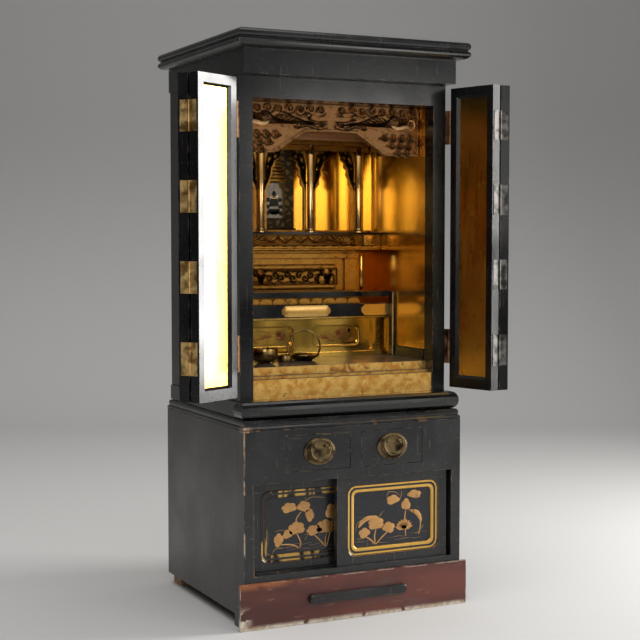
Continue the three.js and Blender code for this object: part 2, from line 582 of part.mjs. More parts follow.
// a row of upright petals on the rail
const PETALS = 9;
const PETAL_ROW = 300;
const PETAL_FOOT = 695;
const petalWidth = PETAL_ROW / PETALS;
const petals = Array.from({ length: PETALS }, (_, i) => {
  const x0 = MID - PETAL_ROW / 2 + i * petalWidth;
  const foot = [[x0 + 0.4, PETAL_FOOT], [x0 + petalWidth - 0.4, PETAL_FOOT]];
  const arch = Array.from({ length: 5 }, (__, k) => {
    const a = degrees(45 * k);
    return [x0 + petalWidth / 2 + (petalWidth / 2 - 0.8) * Math.cos(a), PETAL_FOOT + 7 + 7.5 * Math.sin(a)];
  });
  return slab([...foot, ...arch], 272 + (i % 2) * 1.6, 280);
});
piece('petal_strip', union(box(MID - 152, MID + 152, 275, 284, 694.4, 703), petals), OLD_GOLD);

// ---- pedestal under the table ----
const across = (x0, x1, y, z, r) => rod([vec(x0, y, z), vec((x0 + x1) / 2, y, z), vec(x1, y, z)], r, 8);
const PEDESTAL_HALF = 168;
const PEDESTAL_TOP = 824.6;
const PEDESTAL_WALL = [10, 14];          // sides and front
const BOSS_X = 89;
const BOSS_Z = 760;
const bud = lathe([[0, -12], [8, -10], [12, 0], [8, 10], [0, 12]], 6, 0, 0);
const boss = (x) => [-1, 0, 1].map((k) =>
  bud.translate([x + k * 12, PEDESTAL_Y + 3, BOSS_Z + (k ? -9 : 9)]));
const slot = (x) => box(x - 4, x + 4, PEDESTAL_Y - 3, PEDESTAL_Y + 4, 726, 804);
const ledge = (proud, z0, z1) => box(MID - 172, MID + 172, PEDESTAL_Y - proud, PEDESTAL_Y + 2, z0, z1);
piece('pedestal', union(
  cut(box(MID - PEDESTAL_HALF, MID + PEDESTAL_HALF, PEDESTAL_Y, BACK_WALL_Y - GAP, stepTop + GAP,
    PEDESTAL_TOP),
    box(MID - PEDESTAL_HALF + PEDESTAL_WALL[0], MID + PEDESTAL_HALF - PEDESTAL_WALL[0],
      PEDESTAL_Y + PEDESTAL_WALL[1], BACK_WALL_Y + 5, stepTop - 5, PEDESTAL_TOP - 12.6),
    slab(roundedRect(MID - 119, MID + 119, 733, 786, 12, 4), PEDESTAL_Y - 3, PEDESTAL_Y + 6),
    slot(MID - 135), slot(MID + 135)),
  ledge(6, 806, 816),
  ledge(10, 694.5, 724),
  [784, 735].map((z) => across(MID - 112, MID + 112, PEDESTAL_Y + 3, z, 7)),
  boss(MID - BOSS_X), boss(MID + BOSS_X)), OLD_GOLD);

// ---- altar table: black top, carved frieze, moulding ----
// A blade in the X-Z plane, narrow at its root and pointed at its tip.
function ray(cx, cz, angle, r0, r1, half) {
  const [c, s] = [Math.cos(angle), Math.sin(angle)];
  const at = (r, w) => [cx + r * c - w * s, cz + r * s + w * c];
  return [at(r0, -half * 0.35), at(r1 - half, -half), at(r1 + half * 0.6, 0), at(r1 - half, half),
    at(r0, half * 0.35)];
}
const FAN_X = 118;            // either side of the middle
const FAN_Z = 840;
const RAY_PROUD = 2.6;
const fan = (side) => Array.from({ length: 9 }, (_, i) => {
  const a = degrees(8 + 164 * i / 8);
  const reach = 21 + 19 * Math.abs(Math.cos(a));
  return slab(ray(MID + side * FAN_X, FAN_Z, a, 6, reach, 2.6), TABLE_Y - RAY_PROUD, TABLE_Y + 2);
});
const leafBand = Array.from({ length: 8 }, (_, i) => {
  const lean = i % 2 ? -1 : 1;
  const blade = ray(MID - 63 + i * 17, 850 - 4 * lean, degrees(35 * lean), 0, 12, 2.6);
  return slab(blade, TABLE_Y - 2.2, TABLE_Y + 2);
});
const END_BLOCK = 32;
const endBlock = (x0) => [
  box(x0, x0 + END_BLOCK, TABLE_Y - 3.5, TABLE_Y + 2, 836, 862),
  ...[18, 45, 72].map((turn) => slab(ray(x0 + 5, 839, degrees(turn), 2, 19, 2), TABLE_Y - 5.5, TABLE_Y - 2)),
];
piece('altar_table', union(
  cut(box(...fullX, TABLE_Y, BACK_WALL_Y - GAP, PEDESTAL_TOP + 0.4, TABLE_TOP),
    box(fullX[0] + 12, fullX[1] - 12, TABLE_Y + 12, BACK_WALL_Y + 5, 820, TABLE_TOP - 8)),
  box(...fullX, TABLE_Y - 6, TABLE_Y + 2, 863, TABLE_TOP),
  across(...fullX, TABLE_Y - 0.5, 833, 3.6),
  across(...fullX, TABLE_Y, 828, 2.6),
  fan(-1), fan(1), leafBand, endBlock(fullX[0]), endBlock(fullX[1] - END_BLOCK)), GOLD);

// ---- palace front: clustered columns, beam and openwork brackets ----
const columnBase = TABLE_TOP + GAP;
const columnTop = 1084;
const POST_OFFSET = 13;       // square posts either side of each round column
function column(x) {
  const shaft = lathe([[0, columnBase], [10.5, columnBase], [10.5, columnBase + 6], [8, columnBase + 10],
    [8, columnTop], [0, columnTop]], 8, x, PALACE_Y);
  const post = (dx) => box(x + dx - 3.5, x + dx + 3.5, PALACE_Y + 3, PALACE_Y + 12, columnBase, columnTop);
  return [shaft, post(-POST_OFFSET), post(POST_OFFSET)];
}
const bracketEdge = [[0, 1076], [44, 1076], [33, 1060], [35, 1050], [26, 1042], [27, 1032], [19, 1024],
  [21, 1012], [14, 1002], [14, 988], [0, 972]];
const bracketHoles = [[13, 1056, 6], [9, 1024, 4.5]];
function bracket(x, sign) {
  const root = x + sign * (POST_OFFSET - 1);
  const outline = bracketEdge.map(([dx, z]) => [root + sign * dx, z]);
  if (sign > 0) outline.reverse();
  const holes = bracketHoles.map(([dx, z, r]) => circle(root + sign * dx, z, r, 4));
  return slab(outline, PALACE_Y + 2, PALACE_Y + 9, holes);
}
const clearOfWall = (x) => x > WALL_X[0] && x < WALL_X[1];
const brackets = COLUMN_X.flatMap((x) =>
  [-1, 1].filter((sign) => clearOfWall(x + sign * 60)).map((sign) => bracket(x, sign)));

const PENDANTS = 10;
const PENDANT_PITCH = 46;
const pendants = Array.from({ length: PENDANTS }, (_, i) => {
  const x = WALL_X[0] + 22 + i * PENDANT_PITCH;
  const drop = [[x + 14, 1112], [x - 14, 1112], [x - 12, 1097], [x, 1084], [x + 12, 1097]];
  return slab(drop, PALACE_Y - 18, PALACE_Y - 12);
});
const beam = (y0, y1, z0, z1) => box(WALL_X[0] + 2, WALL_X[1] - 2, PALACE_Y + y0, PALACE_Y + y1, z0, z1);
piece('palace_front', union(
  COLUMN_X.flatMap(column),
  beam(1, 13, columnBase, columnBase + 5),
  beam(-4, 13, 1072, 1088),
  beam(-19, 13, 1086, 1092),
  beam(-18, -10, 1088, 1116),
  beam(-24, -8, 1112, 1124),
  brackets, pendants), OLD_GOLD);

const SCROLL_Z = [876, 1090];
piece('hanging_scroll', union(
  box(MID - 55, MID + 55, BACK_WALL_Y - 4.5, BACK_WALL_Y - 2.5, ...SCROLL_Z),
  across(MID - 60, MID + 60, BACK_WALL_Y - 5, SCROLL_Z[0], 4),
  across(MID - 57, MID + 57, BACK_WALL_Y - 4.5, SCROLL_Z[1], 3)), BROCADE);
piece('header_board', box(WALL_X[0] + 0.5, WALL_X[1] - 0.5, 196, 208, 1084, 1104), ORANGE_WOOD);

// ---- carved transom: cusped board, pierced, with curls and two ribbon-tailed figures ----
const flip = (polygon) => polygon.map(([x, z]) => [mirror(x), z]).reverse();
const both = (polygons) => [...polygons, ...polygons.map(flip)];
const ARCH_Z = 1098;
const LOBE_Z = 1047;
const TRANSOM_THICKNESS = 9;
const transomTop = LINTEL_BOTTOM - GAP;
const cusps = [[insideX[0], LOBE_Z + 6], [insideX[0] + 10, LOBE_Z], [MID - 146, LOBE_Z],
  [MID - 134, LOBE_Z + 3], [MID - 70, ARCH_Z - 3], [MID - 58, ARCH_Z]];
const transomEdge = [...cusps, ...flip(cusps), [insideX[1], transomTop], [insideX[0], transomTop]];

const CURL_STEPS = 4;
function curl(cx, cz, r, turn = 0) {
  const outer = [];
  const inner = [];
  for (let i = 0; i <= CURL_STEPS; i += 1) {
    const t = i / CURL_STEPS;
    const a = degrees(turn + 290 * t);
    const ro = r * (1 - 0.5 * t);
    const ri = ro - r * (0.36 - 0.1 * t);
    outer.push([cx + ro * Math.cos(a), cz + ro * Math.sin(a)]);
    inner.push([cx + ri * Math.cos(a), cz + ri * Math.sin(a)]);
  }
  return [...outer, ...inner.reverse()];
}
// A ribbon along a path, as wide each side of it as the widths say.
function ribbon(path, widths) {
  const left = [];
  const right = [];
  path.forEach(([x, z], i) => {
    const [ax, az] = path[Math.max(i - 1, 0)];
    const [bx, bz] = path[Math.min(i + 1, path.length - 1)];
    const length = Math.hypot(bx - ax, bz - az);
    const [nx, nz] = [-(bz - az) / length, (bx - ax) / length];
    left.push([x + nx * widths[i], z + nz * widths[i]]);
    right.push([x - nx * widths[i], z - nz * widths[i]]);
  });
  return [...right, ...left.reverse()];
}

const cloudRow = both(Array.from({ length: 6 }, (_, i) =>
  curl(MID - 210 + i * 37, 1148 - (i % 2) * 3, 9.5, 20 * i)));
// three rows of waves in each lobe, with a hole through the board behind each wave
const WAVE_PITCH = 24;
const WAVE_ROW = 17;
const waveSpots = [0, 1, 2].flatMap((row) => Array.from({ length: 4 - row }, (_, i) =>
  [MID - 210 + i * WAVE_PITCH + row * 5, 1090 - row * WAVE_ROW]));
const waveRows = both(waveSpots.map(([x, z]) => curl(x, z, 9, 200)));
const tails = both([
  ribbon([[60, 1112], [84, 1124], [110, 1122], [134, 1136], [158, 1134]], [2, 4.5, 5, 3.5, 0.8]),
  ribbon([[66, 1104], [92, 1112], [118, 1110], [144, 1122], [172, 1120]], [2, 4, 4.5, 3.5, 0.8]),
  ribbon([[150, 1108], [168, 1118], [190, 1116], [206, 1124], [216, 1120]], [3, 7, 8, 5, 1.5]),
  ribbon([[196, 1108], [214, 1106], [232, 1110], [246, 1106], [262, 1110]], [1.5, 3.5, 4, 3, 1]),
  ribbon([[208, 1128], [222, 1138], [240, 1136], [252, 1142]], [1.5, 4, 3.5, 1]),
]);
const bandX = insideX[0] + 5;
const endBands = both([
  ribbon([[bandX, 1054], [bandX, 1098]], [3, 3]),
  ribbon([[bandX, 1106], [bandX, 1152]], [3, 3]),
]);
const edgeLine = [[insideX[0] + 10, LOBE_Z + 3], [MID - 146, LOBE_Z + 3], [MID - 66, ARCH_Z + 1],
  [MID, ARCH_Z + 3]];
const edging = both([ribbon(edgeLine, [2.6, 2.6, 2.6, 2.6])]);
const piercings = both([
  ...waveSpots.map(([x, z]) => circle(x + WAVE_PITCH / 2, z - 4, 3.4, 4)),
  circle(182, 1106, 4.5, 4, 0.6),
  circle(226, 1121, 5, 4, 0.7),
  circle(130, 1147, 3.5, 4),
  circle(194, 1146, 3.5, 4),
]);
const raised = (polygons, proud) =>
  polygons.map((polygon) => slab(polygon, TRANSOM_Y - proud, TRANSOM_Y + 2));
piece('carved_transom', cut(
  union(
    slab(transomEdge, TRANSOM_Y, TRANSOM_Y + TRANSOM_THICKNESS),
    raised([...cloudRow, ...waveRows, ...endBands], 3), raised(tails, 4), raised(edging, 2)),
  piercings.map((hole) => slab(hole, TRANSOM_Y - 9, TRANSOM_Y + 15))), GOLD);

// ---- loose things on the inner floor ----
const standing = (profile, x, y) =>
  lathe(profile.map(([r, z]) => [r, FLOOR_TOP + GAP + z]), 12, x, y);
piece('bell_bowl', standing([[0, 0], [13, 0], [22, 4], [29, 13], [31.5, 24], [30.5, 33], [28, 33], [29, 24],
  [26.5, 14], [20, 7], [0, 4]], 131, 187), BRASS);
piece('low_ring',
  standing([[11, 0], [15.5, 0], [17, 8], [15.5, 15], [13, 15], [13.5, 8], [11, 0]], 188, 196), BRASS);

// a shallow dish with a tall hoop standing in it
const DISH = [244, 213];
const HOOP = { radius: 38, height: 33, yaw: degrees(26), wire: 2.2 };
const hoopAt = (a) => vec(
  DISH[0] + HOOP.radius * Math.cos(a) * Math.cos(HOOP.yaw),
  DISH[1] - HOOP.radius * Math.cos(a) * Math.sin(HOOP.yaw),
  FLOOR_TOP + GAP + HOOP.height + HOOP.radius * Math.sin(a));
piece('hooped_dish', union(
  standing([[0, 0], [20, 0], [25, 3], [34, 10], [37, 12], [37, 14], [33, 13], [24, 7], [0, 5]], ...DISH),
  rod(Array.from({ length: 11 }, (_, i) => hoopAt(degrees(-34 + 248 * i / 10))), HOOP.wire, 5)), BRASS);

// ---- put the origin under the middle of everything ----
const bounds = new THREE.Box3().setFromObject(group);
const centre = bounds.getCenter(new THREE.Vector3());
for (const mesh of pieces) mesh.geometry.translate(-centre.x, -centre.y, -bounds.min.z);

export default group;
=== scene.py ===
import json
import math

import bmesh
import bpy
from mathutils import Matrix, Vector


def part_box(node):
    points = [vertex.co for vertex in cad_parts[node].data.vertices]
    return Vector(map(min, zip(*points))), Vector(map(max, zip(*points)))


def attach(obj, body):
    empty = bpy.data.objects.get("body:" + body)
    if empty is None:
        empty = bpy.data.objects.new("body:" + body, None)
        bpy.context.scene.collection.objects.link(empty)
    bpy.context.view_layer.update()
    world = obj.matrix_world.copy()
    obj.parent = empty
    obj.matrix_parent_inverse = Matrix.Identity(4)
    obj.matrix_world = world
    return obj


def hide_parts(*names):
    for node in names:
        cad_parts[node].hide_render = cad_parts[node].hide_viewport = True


# Household altar cabinet: looks, carving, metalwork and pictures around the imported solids.
# Work is laid out in millimetres from the lower cabinet's front left foot: +X to the right,
# +Y to the back, +Z up. TO_FRAME takes a finished piece from there to the frame, in metres.

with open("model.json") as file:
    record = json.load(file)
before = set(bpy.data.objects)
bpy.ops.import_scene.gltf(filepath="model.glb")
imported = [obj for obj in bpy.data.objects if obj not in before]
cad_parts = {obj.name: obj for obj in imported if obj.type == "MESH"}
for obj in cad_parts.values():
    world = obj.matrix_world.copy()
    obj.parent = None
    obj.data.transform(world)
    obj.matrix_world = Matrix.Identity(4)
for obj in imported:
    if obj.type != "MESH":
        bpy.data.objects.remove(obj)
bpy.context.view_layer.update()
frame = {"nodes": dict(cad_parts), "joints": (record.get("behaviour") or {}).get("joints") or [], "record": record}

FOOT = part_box("base_front_frame")[0]
TO_FRAME = Matrix.Translation(FOOT) @ Matrix.Scale(0.001, 4)


def extent(node):
    """A node's lowest and highest corners in millimetres from the front left foot."""
    low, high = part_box(node)
    return (low - FOOT) * 1000, (high - FOOT) * 1000


WIDTH = extent("base_front_frame")[1].x
MIDDLE = WIDTH / 2


# ---- camera ----
VIEWPOINT = (-1.4024, -2.9678, 0.8488)
VIEW_TILT = 0.057      # radians down from level
VIEW_TURN = -0.453     # radians round from straight ahead


def camera():
    data = bpy.data.cameras.new("camera")
    data.lens = 78.43
    data.sensor_width = 36
    viewer = bpy.data.objects.new("camera", data)
    viewer.location = VIEWPOINT
    viewer.rotation_euler = (math.pi / 2 - VIEW_TILT, 0, VIEW_TURN)
    bpy.context.scene.collection.objects.link(viewer)
    bpy.context.scene.camera = viewer


camera()


# ---- finishes ----
class Finish:
    """One material: the shader's own values first, then the nodes that vary them."""

    def __init__(self, name, colour, roughness, metallic=0.0, slot=None, **sockets):
        self.slot = slot or name
        self.material = bpy.data.materials.new(name)
        self.material.use_nodes = True
        self.material.diffuse_color = (*colour, 1)
        self.tree = self.material.node_tree
        self.shader = self.tree.nodes["Principled BSDF"]
        self.shader.inputs["Base Color"].default_value = (*colour, 1)
        self.shader.inputs["Roughness"].default_value = roughness
        self.shader.inputs["Metallic"].default_value = metallic
        for socket, value in sockets.items():
            self.shader.inputs[socket.replace("_", " ")].default_value = value
        self.place = self.add("ShaderNodeTexCoord").outputs["Object"]

    def add(self, kind, **settings):
        node = self.tree.nodes.new(kind)
        for name, value in settings.items():
            setattr(node, name, value)
        return node

    def feed(self, socket, value):
        if isinstance(value, bpy.types.NodeSocket):
            self.tree.links.new(value, socket)
        else:
            socket.default_value = value

    def stretched(self, stretch, turn=(0, 0, 0)):
        """Object coordinates scaled per axis, so that a pattern runs along the grain."""
        mapping = self.add("ShaderNodeMapping")
        self.feed(mapping.inputs["Vector"], self.place)
        mapping.inputs["Scale"].default_value = stretch
        mapping.inputs["Rotation"].default_value = turn
        return mapping.outputs["Vector"]

    def noise(self, scale, detail=4.0, stretch=None, turn=(0, 0, 0), warp=0.0):
        node = self.add("ShaderNodeTexNoise")
        where = self.stretched(stretch, turn) if stretch else self.place
        self.feed(node.inputs["Vector"], where)
        node.inputs["Scale"].default_value = scale
        node.inputs["Detail"].default_value = detail
        node.inputs["Distortion"].default_value = warp
        return node.outputs["Fac"]

    def cells(self, scale, stretch=None):
        node = self.add("ShaderNodeTexVoronoi", feature="DISTANCE_TO_EDGE")
        self.feed(node.inputs["Vector"], self.stretched(stretch) if stretch else self.place)
        node.inputs["Scale"].default_value = scale
        return node.outputs["Distance"]

    def math(self, operation, first, second=0.0):
        node = self.add("ShaderNodeMath", operation=operation)
        self.feed(node.inputs[0], first)
        self.feed(node.inputs[1], second)
        return node.outputs[0]

    def span(self, value, low, high, start=0.0, end=1.0):
        """Spreads low..high of a value over start..end, held at both ends."""
        node = self.add("ShaderNodeMapRange", interpolation_type="SMOOTHSTEP")
        self.feed(node.inputs["Value"], value)
        node.inputs["From Min"].default_value = low
        node.inputs["From Max"].default_value = high
        node.inputs["To Min"].default_value = start
        node.inputs["To Max"].default_value = end
        return node.outputs["Result"]

    def times(self, *values):
        product = values[0]
        for value in values[1:]:
            product = self.math("MULTIPLY", product, value)
        return product

    def blend(self, first, second, amount, mode="MIX"):
        node = self.add("ShaderNodeMix", data_type="RGBA", blend_type=mode)
        self.feed(node.inputs[0], amount)
        for socket, value in ((node.inputs[6], first), (node.inputs[7], second)):
            self.feed(socket, (*value, 1) if isinstance(value, tuple) else value)
        return node.outputs[2]

    def axis(self, name):
        node = self.add("ShaderNodeSeparateXYZ")
        self.feed(node.inputs[0], self.place)
        return node.outputs[name]

    def along(self, name, start, end):
        """0 to 1 between two distances, in millimetres from the foot, along X, Y or Z."""
        foot = FOOT["XYZ".index(name)]
        return self.span(self.axis(name), foot + start / 1000, foot + end / 1000)

    def facing(self, name, low=0.5, high=0.7):
        """1 on faces that look along +X, +Y or +Z."""
        node = self.add("ShaderNodeSeparateXYZ")
        self.feed(node.inputs[0], self.add("ShaderNodeNewGeometry").outputs["Normal"])
        return self.span(node.outputs[name], low, high)

    def edges(self, radius, low=0.03, high=0.25):
        """1 on sharp edges, from how far a rounded normal turns from the real one."""
        rounded = self.add("ShaderNodeBevel", samples=6)
        rounded.inputs["Radius"].default_value = radius
        real = self.add("ShaderNodeNewGeometry").outputs["Normal"]
        dot = self.add("ShaderNodeVectorMath", operation="DOT_PRODUCT")
        self.feed(dot.inputs[0], rounded.outputs["Normal"])
        self.feed(dot.inputs[1], real)
        turned = self.math("SUBTRACT", 1.0, dot.outputs["Value"])
        return self.span(turned, low, high)

    def hollows(self, distance):
        """1 in open places, towards 0 in crevices."""
        node = self.add("ShaderNodeAmbientOcclusion", samples=6)
        node.inputs["Distance"].default_value = distance
        return node.outputs["AO"]

    def colour(self, value):
        self.feed(self.shader.inputs["Base Color"], value)

    def rough(self, value):
        self.feed(self.shader.inputs["Roughness"], value)

    def bump(self, height, depth, strength=1.0):
        node = self.add("ShaderNodeBump")
        node.inputs["Strength"].default_value = strength
        node.inputs["Distance"].default_value = depth
        self.feed(node.inputs["Height"], height)
        self.feed(self.shader.inputs["Normal"], node.outputs["Normal"])


HAZE_OF_DUST = 0.011
SPECK_GREY = (0.14, 0.13, 0.12)
SCRATCH_GREY = (0.11, 0.095, 0.08)
RUBBED_BROWN = (0.30, 0.25, 0.19)
BARE_ORANGE = (0.50, 0.27, 0.10)


def black_lacquer(name, base=(0.0045, 0.0045, 0.005), wear=0.5, dust=0.4, gloss=0.2, slot=None):
    """Black lacquer with dust, hairline scratches and edges rubbed to brown and bare wood."""
    look = Finish(name, base, gloss, slot=slot, Specular_IOR_Level=0.42, Coat_Weight=0.3,
                  Coat_Roughness=0.12)
    cloud = look.noise(7, 5)
    haze = tuple(c + HAZE_OF_DUST * dust for c in base)
    tone = look.blend(base, haze, look.span(cloud, 0.38, 0.72))
    specks = look.span(look.noise(260, 2), 0.67, 0.74)
    tone = look.blend(tone, SPECK_GREY, look.times(specks, 0.2 + 0.6 * dust))
    slanting = look.span(look.noise(420, 2, stretch=(0.05, 1, 1), turn=(0, 0.4, 0)), 0.69, 0.73)
    upright = look.span(look.noise(300, 2, stretch=(1, 1, 0.04)), 0.68, 0.73)
    scratches = look.math("MAXIMUM", slanting, upright)
    tone = look.blend(tone, SCRATCH_GREY, look.times(scratches, 0.3 + 0.5 * dust))
    patches = look.noise(38, 6, warp=0.6)
    rubbed = look.times(look.edges(0.0016), look.span(patches, 0.54 - 0.12 * wear, 0.62))
    tone = look.blend(tone, RUBBED_BROWN, rubbed)
    ragged = look.span(look.noise(21, 5, warp=0.8), 0.63, 0.66)
    tone = look.blend(tone, BARE_ORANGE, look.times(look.edges(0.0034, 0.02, 0.12), ragged, wear))
    look.tone = tone
    look.colour(tone)
    look.rough(look.span(cloud, 0.3, 0.7, gloss - 0.04, gloss + 0.14))
    look.bump(look.math("ADD", look.times(patches, 0.6), look.times(rubbed, -0.8)), 0.0004, 0.4)
    return look


LACQUER = black_lacquer("black_lacquer")
LOWER_LACQUER = black_lacquer("lower_black_lacquer", (0.008, 0.008, 0.009), 0.9, 0.9, 0.3, "black_lacquer")
SIDE_LACQUER = black_lacquer("brown_black_lacquer", (0.012, 0.009, 0.006), 0.8, 0.7, 0.28)


def chip_left_corner(look):
    """Long splinters off the lower cabinet's front left corner, down to orange and whitish wood."""
    corner = look.times(look.along("X", 26, 10), look.along("Y", 34, 14))
    ragged = look.noise(26, 6, stretch=(1, 1, 0.28), warp=0.7)
    chips = look.times(look.edges(0.006, 0.004, 0.05), look.span(ragged, 0.47, 0.50), corner)
    wood = look.blend((0.62, 0.50, 0.36), (0.46, 0.20, 0.06), look.span(look.noise(90, 5), 0.42, 0.58))
    look.colour(look.blend(look.tone, wood, chips))


chip_left_corner(LOWER_LACQUER)


def red_lacquer():
    """Dull red lacquer, ragged and whitish along its foot and ends, orange where it is worn thin."""
    look = Finish("red_lacquer", (0.105, 0.020, 0.012), 0.4, Coat_Weight=0.2, Coat_Roughness=0.3)
    cloud = look.noise(9, 6, stretch=(0.35, 1, 1.4))
    tone = look.blend((0.075, 0.016, 0.011), (0.15, 0.034, 0.021), look.span(cloud, 0.35, 0.65))
    scuffs = look.span(look.noise(60, 6, stretch=(0.3, 1, 1.2)), 0.62, 0.7)
    tone = look.blend(tone, (0.24, 0.11, 0.07), look.times(scuffs, 0.6))
    grey_wear = look.span(look.noise(14, 6, stretch=(0.5, 1, 1)), 0.52, 0.66)
    tone = look.blend(tone, (0.13, 0.085, 0.07), look.times(grey_wear, look.along("X", 230, 420), 0.7))
    ragged = look.noise(30, 7, warp=1.0)
    foot = look.times(look.along("Z", 13, 2), look.span(ragged, 0.36, 0.42))
    left_end = look.times(look.along("X", 22, -8), look.along("Z", 60, 20), look.span(ragged, 0.44, 0.48))
    rim = look.times(look.edges(0.0035, 0.015, 0.14), look.span(look.noise(34, 7, warp=1.0), 0.44, 0.5))
    wood = look.blend((0.50, 0.38, 0.26), (0.72, 0.64, 0.53), look.span(look.noise(70, 5), 0.4, 0.6))
    chips = look.math("MAXIMUM", look.math("MAXIMUM", foot, left_end), rim)
    tone = look.blend(tone, wood, chips)
    cloudy = look.span(look.noise(22, 6), 0.42, 0.55)
    thin = look.times(look.along("Z", 84, 100), look.along("X", 190, 40), cloudy)
    tone = look.blend(tone, (0.42, 0.13, 0.035), look.times(thin, 0.7))
    look.colour(tone)
    look.rough(look.span(cloud, 0.3, 0.7, 0.3, 0.5))
    look.bump(look.math("SUBTRACT", look.times(cloud, 0.4), chips), 0.0007, 0.6)
    return look


RED = red_lacquer()


GRAIN_ALONG_X = (0.06, 1, 1)


def wood(name, dark, light):
    """Plain wood with long grain and fine dark pores."""
    look = Finish(name, light, 0.62)
    rings = look.noise(70, 6, stretch=GRAIN_ALONG_X, warp=0.8)
    pores = look.noise(600, 3, stretch=tuple(0.5 * share for share in GRAIN_ALONG_X))
    tone = look.blend(dark, light, look.span(rings, 0.35, 0.65))
    tone = look.blend(tone, dark, look.span(pores, 0.6, 0.75, 0.0, 0.6))
    look.colour(tone)
    look.bump(pores, 0.0003, 0.4)
    return look


BARE_WOOD = wood("bare_wood", (0.33, 0.17, 0.075), (0.55, 0.33, 0.17))
STAINED_WOOD = wood("stained_wood", (0.22, 0.075, 0.02), (0.42, 0.17, 0.05))


def gold_leaf(name, bright=(1.0, 0.60, 0.10), worn=(0.34, 0.14, 0.03), roughness=0.16, wear=0.4):
    """Gold leaf over red-brown ground: faint leaf joins, cloudy tone and rubbed-through places."""
    look = Finish(name, bright, roughness, 1.0, slot="gold_leaf", Coat_Weight=0.5, Coat_Roughness=0.1)
    cloud = look.noise(8, 5, stretch=(1, 1, 0.5))
    tone = look.blend(tuple(0.85 * c for c in bright), bright, look.span(cloud, 0.35, 0.62))
    joins = look.span(look.cells(11), 0.0, 0.012, 1.0, 0.0)
    tone = look.blend(tone, tuple(0.6 * c for c in bright), look.times(joins, 0.2))
    rubbed = look.span(look.noise(26, 8, stretch=(1, 1, 0.3), warp=0.9), 0.68 - 0.08 * wear, 0.78)
    tone = look.blend(tone, worn, look.times(rubbed, wear))
    pits = look.span(look.noise(190, 3), 0.68, 0.74)
    tone = look.blend(tone, worn, look.times(pits, 0.5))
    edge = look.times(look.edges(0.0018), look.span(look.noise(55, 5), 0.45, 0.6))
    tone = look.blend(tone, worn, look.times(edge, 0.8))
    look.tone = tone
    look.colour(tone)
    look.rough(look.span(cloud, 0.3, 0.7, roughness - 0.03, roughness + 0.1))
    look.bump(look.math("ADD", cloud, look.times(look.noise(150, 4), 0.15)), 0.0002, 0.25)
    return look


GOLD = gold_leaf("gold_leaf")


def door_gold():
    """Leaf on the doors: rubbed brown in long upright streaks, worst half way up, and dark upright flecks all
    over; the two cracks near the top are not drawn.
    """
    look = gold_leaf("door_gold", (1.0, 0.62, 0.12), roughness=0.24)
    streaks = look.span(look.noise(45, 6, stretch=(1, 1, 0.06)), 0.44, 0.62)
    middle = look.times(look.along("Z", 600, 840), look.along("Z", 1120, 900))
    tone = look.blend(look.tone, (0.30, 0.12, 0.02), look.times(streaks, middle, 0.75))
    flecks = look.span(look.noise(120, 5, stretch=(1, 1, 0.3)), 0.62, 0.7)
    look.colour(look.blend(tone, (0.10, 0.04, 0.01), look.times(flecks, 0.6)))
    return look


DOOR_GOLD = door_gold()


def floor_gold():
    """Dusty grey-brown where it is trodden, mottled pale gold on the risers, grey along their worn edges."""
    look = Finish("floor_gold", (0.90, 0.45, 0.07), 0.38, slot="gold_leaf", Coat_Weight=0.2)
    mottle = look.noise(46, 7, warp=0.5)
    gold = look.blend((0.78, 0.36, 0.06), (1.0, 0.62, 0.17), look.span(mottle, 0.36, 0.62))
    spots = look.span(look.noise(30, 6, warp=0.6), 0.60, 0.66)
    gold = look.blend(gold, (0.36, 0.11, 0.025), look.times(spots, 0.75))
    pinholes = look.span(look.noise(170, 3), 0.66, 0.70)
    gold = look.blend(gold, (0.06, 0.03, 0.012), look.times(pinholes, 0.7))
    scuffs = look.noise(34, 7, stretch=(0.5, 1, 1), warp=0.8)
    dust = look.blend((0.030, 0.020, 0.016), (0.085, 0.066, 0.056), look.span(scuffs, 0.35, 0.66))
    top = look.facing("Z")
    worn_edge = look.times(look.edges(0.0026, 0.02, 0.14), look.span(look.noise(40, 5), 0.35, 0.5))
    tone = look.blend(gold, dust, top)
    look.colour(look.blend(tone, (0.16, 0.13, 0.11), worn_edge))
    look.feed(look.shader.inputs["Metallic"], look.math("SUBTRACT", 0.85, look.times(top, 0.85)))
    look.rough(look.math("ADD", 0.34, look.times(top, 0.22)))
    look.bump(look.math("ADD", mottle, look.times(pinholes, -0.6)), 0.0004, 0.4)
    return look


FLOOR_GOLD = floor_gold()


def carved_gold(name, bright, shade_and_grime, depth, roughness=0.32):
    """Gilded carving with painted shade: bright where it stands open, painted brown to black in the cuts where
    shade falls, with random grime in the same dark colour.
    """
    look = Finish(name, bright, roughness, 1.0, slot="dull_gold_leaf")
    # painted shade: ambient occlusion darkens the cuts towards the dark colour
    unshaded_share = look.span(look.hollows(depth), 0.35, 0.9)
    cloud = look.noise(40, 6, warp=0.6)
    tone = look.blend(shade_and_grime, bright, look.times(unshaded_share, look.span(cloud, 0.25, 0.55, 0.55, 1.0)))
    grime = look.span(look.noise(130, 5), 0.58, 0.68)
    tone = look.blend(tone, shade_and_grime, look.times(grime, 0.6))
    look.colour(tone)
    look.rough(look.span(cloud, 0.3, 0.7, roughness, roughness + 0.2))
    look.bump(cloud, 0.0004, 0.5)
    return look


# each carved finish paints shade into its cuts: its second colour is that painted shade, also used for random
# grime
CARVED = carved_gold("carved_gold", (1.0, 0.64, 0.30), (0.10, 0.040, 0.016), 0.0022, 0.42)
# painted shade: the transom's board is a darker copy of the carving's gold, for the shade between the strokes
CARVED_GROUND = carved_gold("carved_ground", (0.52, 0.27, 0.11), (0.03, 0.012, 0.006), 0.003, 0.46)
OLD_GOLD = carved_gold("dull_gold_leaf", (0.56, 0.27, 0.05), (0.022, 0.010, 0.005), 0.008, 0.36)


